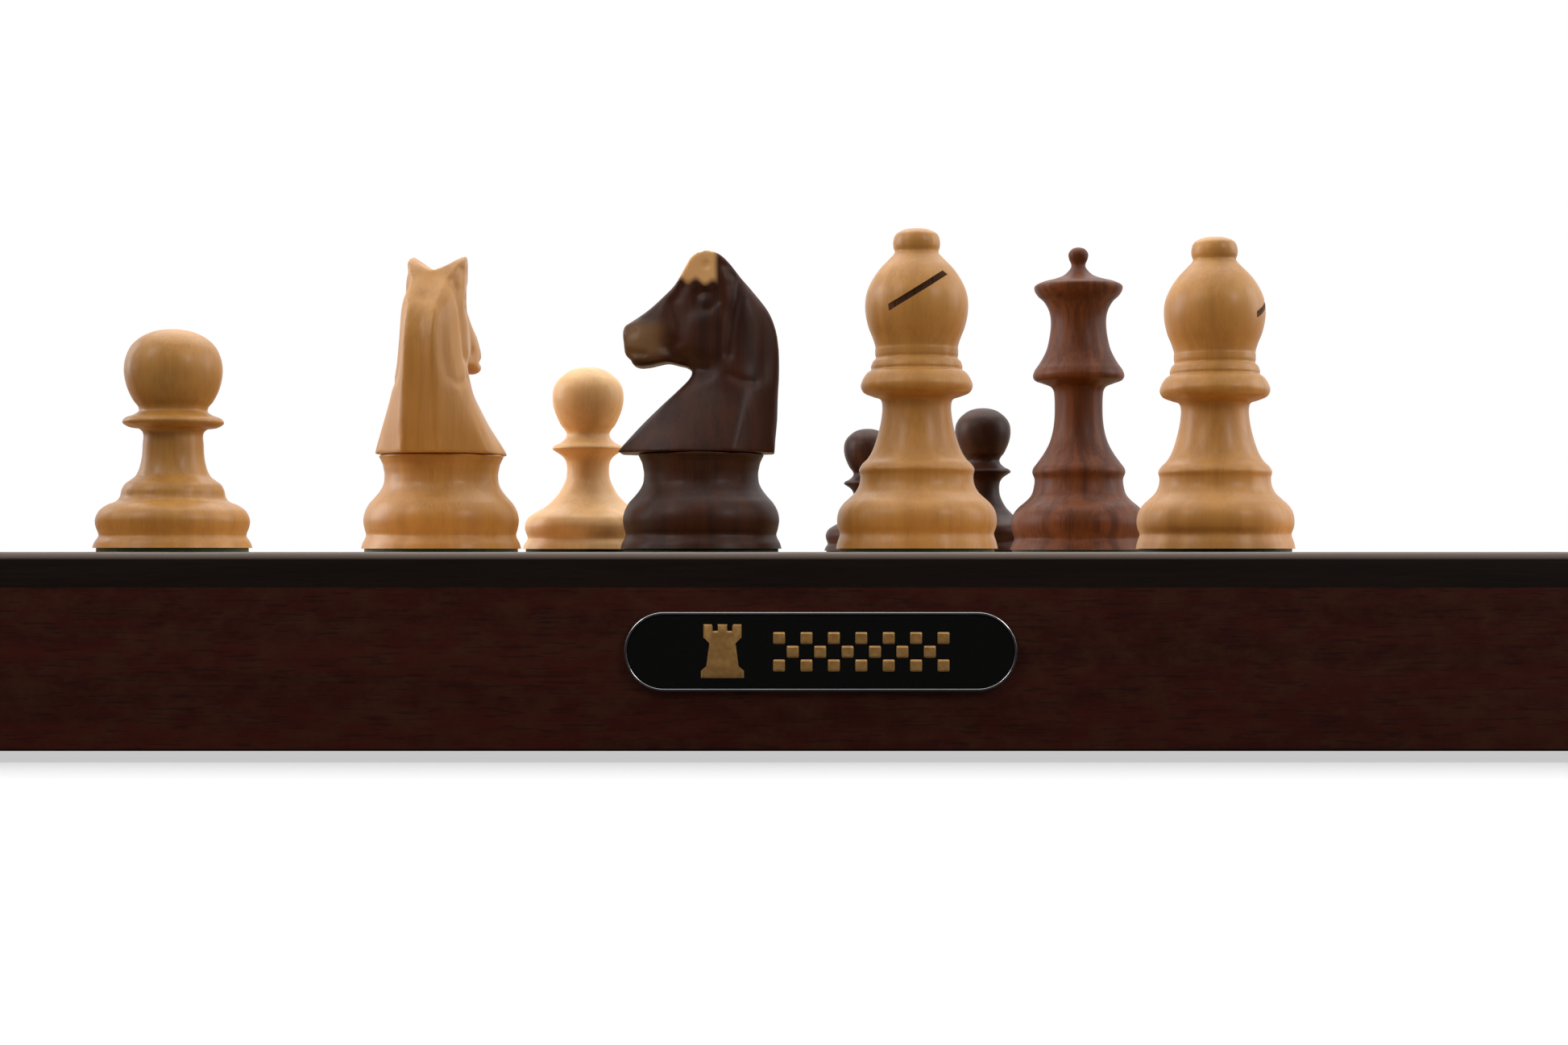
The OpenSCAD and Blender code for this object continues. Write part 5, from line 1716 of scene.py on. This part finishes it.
    def bareness(self, along: np.ndarray, height: np.ndarray) -> np.ndarray:
        """How far each point goes towards bare wood: on the crown down to a wavy edge, and in a soft-edged
        patch on the nose.

        Args:
            along: Place of each point along the horse.
            height: Height of each point.

        Returns:
            Array from 0, stained, to 1, bare.
        """
        swell, pace, lean = self.crown_wave
        wave = swell * np.sin(along * pace) + lean * along
        crown = np.clip((height - self.crown[0] + wave) / self.crown_fade[0], 0, 1)
        crown *= np.clip((self.crown[1] - along) / self.crown_fade[1], 0, 1)
        u, v = ((value - middle) / half for value, middle, half in
                zip((along, height), self.nose, self.nose_size))
        return np.maximum(crown, self.nose_paleness * np.exp(-(u**4) - v**4)).astype(np.float32)


@dataclass
class Game:
    """The position on the board."""

    def build(self) -> None:
        """Builds every chess piece."""
        light, dark = Side.LIGHT, Side.DARK
        men = [
            TurnedPiece("light_pawn_front", light, STOUT_PAWN),
            # The rear pawn takes the paler boxwood: painted light for a pawn that stands in shade.
            TurnedPiece("light_pawn_rear", Side.PAINTED_BRIGHT, SLIM_PAWN),
            Knight("light_knight", light, KNIGHT_FOOT, turn=-99),
            Bishop("light_bishop_left", light, BISHOP, turn=9),
            Bishop("light_bishop_right", light, BISHOP, turn=90),
            King("light_king", light, KING),
            TurnedPiece("dark_pawn_left", dark, SLIM_PAWN),
            TurnedPiece("dark_pawn_right", dark, SLIM_PAWN),
            Knight("dark_knight", dark, KNIGHT_FOOT, unstained=True),
            TurnedPiece("dark_queen", Side.BROWN, QUEEN),
            King("dark_king", dark, KING),
        ]
        for man in men:
            man.build()


# ------------------------------------------------------------------ the studio


@dataclass
class Softbox:
    """A square studio light that faces a point over the board.

    Attributes:
        name: Its name.
        place: Where it stands, in metres.
        size: Its width and height in metres.
        power: Its power in watts.
        aim: The point that it faces.
    """

    name: str
    place: Tuple[float, float, float]
    size: Tuple[float, float]
    power: float
    aim: Tuple[float, float, float] = (0.0, 0.0, 0.05)

    def build(self) -> None:
        """Adds the light."""
        lamp = bpy.data.lights.new(self.name, "AREA")
        lamp.shape = "RECTANGLE"
        lamp.size, lamp.size_y = self.size
        lamp.energy = self.power
        holder = add_object(self.name, lamp)
        holder.location = self.place
        way = Vector(self.aim) - Vector(self.place)
        holder.rotation_euler = way.to_track_quat("-Z", "Y").to_euler()


@dataclass
class Studio:
    """Pale floor, white surroundings, soft lights, and a camera level with the playing field.

    Attributes:
        lens: Focal length.
        sensor: Width of the camera's sensor.
        stand_off: Distance from the camera to the front rail.
        aside: How far the camera stands to the right of the middle.
        under: How far the lens is below the playing surface.
        tilt: Degrees that the camera looks up.
        table_glow: How brightly the tabletop shines from below.
        table_colour: Its colour.
        table_side: Half its length, in metres.
        sky_lean: How much a ray away from the camera counts, against a ray upwards.
        sky_range: That sum where the surroundings are dimmest and where they are brightest.
        sky: Their strength there.
        lights: The softboxes.
    """

    lens: float = 54.57
    sensor: float = 36.0
    stand_off: float = 400.0
    aside: float = -6.17
    under: float = 0.4
    tilt: float = 0.767
    table_glow: float = 0.56
    table_colour: str = "#8d8d8d"
    table_side: float = 6.0
    sky_lean: float = 0.8
    sky_range: Tuple[float, float] = (-0.35, 0.9)
    sky: Tuple[float, float] = (0.03, 1.25)
    lights: Sequence[Softbox] = field(default_factory=lambda: (
        Softbox("left_softbox", (-0.75, -0.75, 0.75), (0.32, 0.45), 2.8),
        Softbox("right_softbox", (0.7, -0.85, 0.6), (0.26, 0.36), 2.8),
        Softbox("left_side_softbox", (-0.9, 0.05, 0.35), (0.5, 0.6), 5.5),
        Softbox("right_side_softbox", (0.9, 0.0, 0.35), (0.5, 0.6), 3.2),
        Softbox("overhead_softbox", (0.0, 0.35, 1.1), (1.4, 1.2), 11.0),
    ))

    def build(self) -> None:
        """Sets up the floor, the surroundings, the lights and the camera."""
        self.floor()
        self.surroundings()
        for light in self.lights:
            light.build()
        self.camera()
        bpy.context.scene.view_settings.view_transform = "Standard"

    def floor(self) -> None:
        """A wide opal tabletop, lit from below as a product table is, at the height of the feet's soles."""
        material, tree, shader, _ = start_material("lit_opal_acrylic")
        seen = add_node(tree, "LightPath").outputs["Is Camera Ray"]
        glow = add_node(tree, "Math", {1: self.table_glow}, {0: seen}, operation="MULTIPLY")
        feed(tree, shader, {"Base Color": linear(self.table_colour), "Roughness": 0.7,
                            "Emission Color": WHITE}, {"Emission Strength": glow})
        corners = self.table_side / MM * np.array([[-1, -1, 0], [1, -1, 0], [1, 1, 0], [-1, 1, 0]])
        floor = add_object("floor", fill_mesh("floor", Shell(corners, [np.arange(4)[None]]), material))
        floor.visible_glossy = False

    def surroundings(self) -> None:
        """White to the eye, and as a light source bright behind and above and dim in front."""
        world = bpy.data.worlds.new("studio")
        world.use_nodes = True
        tree = world.node_tree
        tree.nodes.clear()
        way = add_node(tree, "TexCoord")
        apart = add_node(tree, "SeparateXYZ", links={0: way.outputs["Generated"]})
        lean = add_node(tree, "Math", {1: self.sky_lean},
                        {0: apart.outputs[1], 2: apart.outputs[2]}, operation="MULTIPLY_ADD")
        glow = add_node(tree, "MapRange",
                        dict(zip(("From Min", "From Max", "To Min", "To Max"), self.sky_range + self.sky)),
                        {"Value": lean}, interpolation_type="SMOOTHSTEP")
        lit = add_node(tree, "Background", {"Color": WHITE}, {"Strength": glow})
        seen = add_node(tree, "Background", {"Color": WHITE, "Strength": 1.0})
        path = add_node(tree, "LightPath")
        both = add_node(tree, "MixShader", links={0: path.outputs["Is Camera Ray"], 1: lit, 2: seen})
        add_node(tree, "OutputWorld", links={"Surface": both})
        bpy.context.scene.world = world

    def camera(self) -> None:
        """Sets the camera square on to the front rail."""
        low, _ = box_mm("rail_front")
        _, high = box_mm("top_panel")
        lens = bpy.data.cameras.new("camera")
        lens.lens = self.lens
        lens.sensor_width = self.sensor
        lens.clip_start = 0.01
        holder = add_object("camera", lens)
        holder.location = np.array([self.aside, low[1] - self.stand_off, high[2] - self.under]) * MM
        holder.rotation_euler = (math.radians(90 + self.tilt), 0, 0)
        bpy.context.scene.camera = holder


def write_sizes() -> None:
    """Brings the scene up to date after the build."""
    bpy.context.view_layer.update()


def main() -> None:
    """Builds the studio, the board and everything on it."""
    logging.basicConfig(level=logging.INFO, format="%(message)s")
    Studio().build()
    Board().build()
    Badge().build()
    Modules().build()
    Underside().build()
    Game().build()
    write_sizes()


if __name__ == "__main__":
    main()
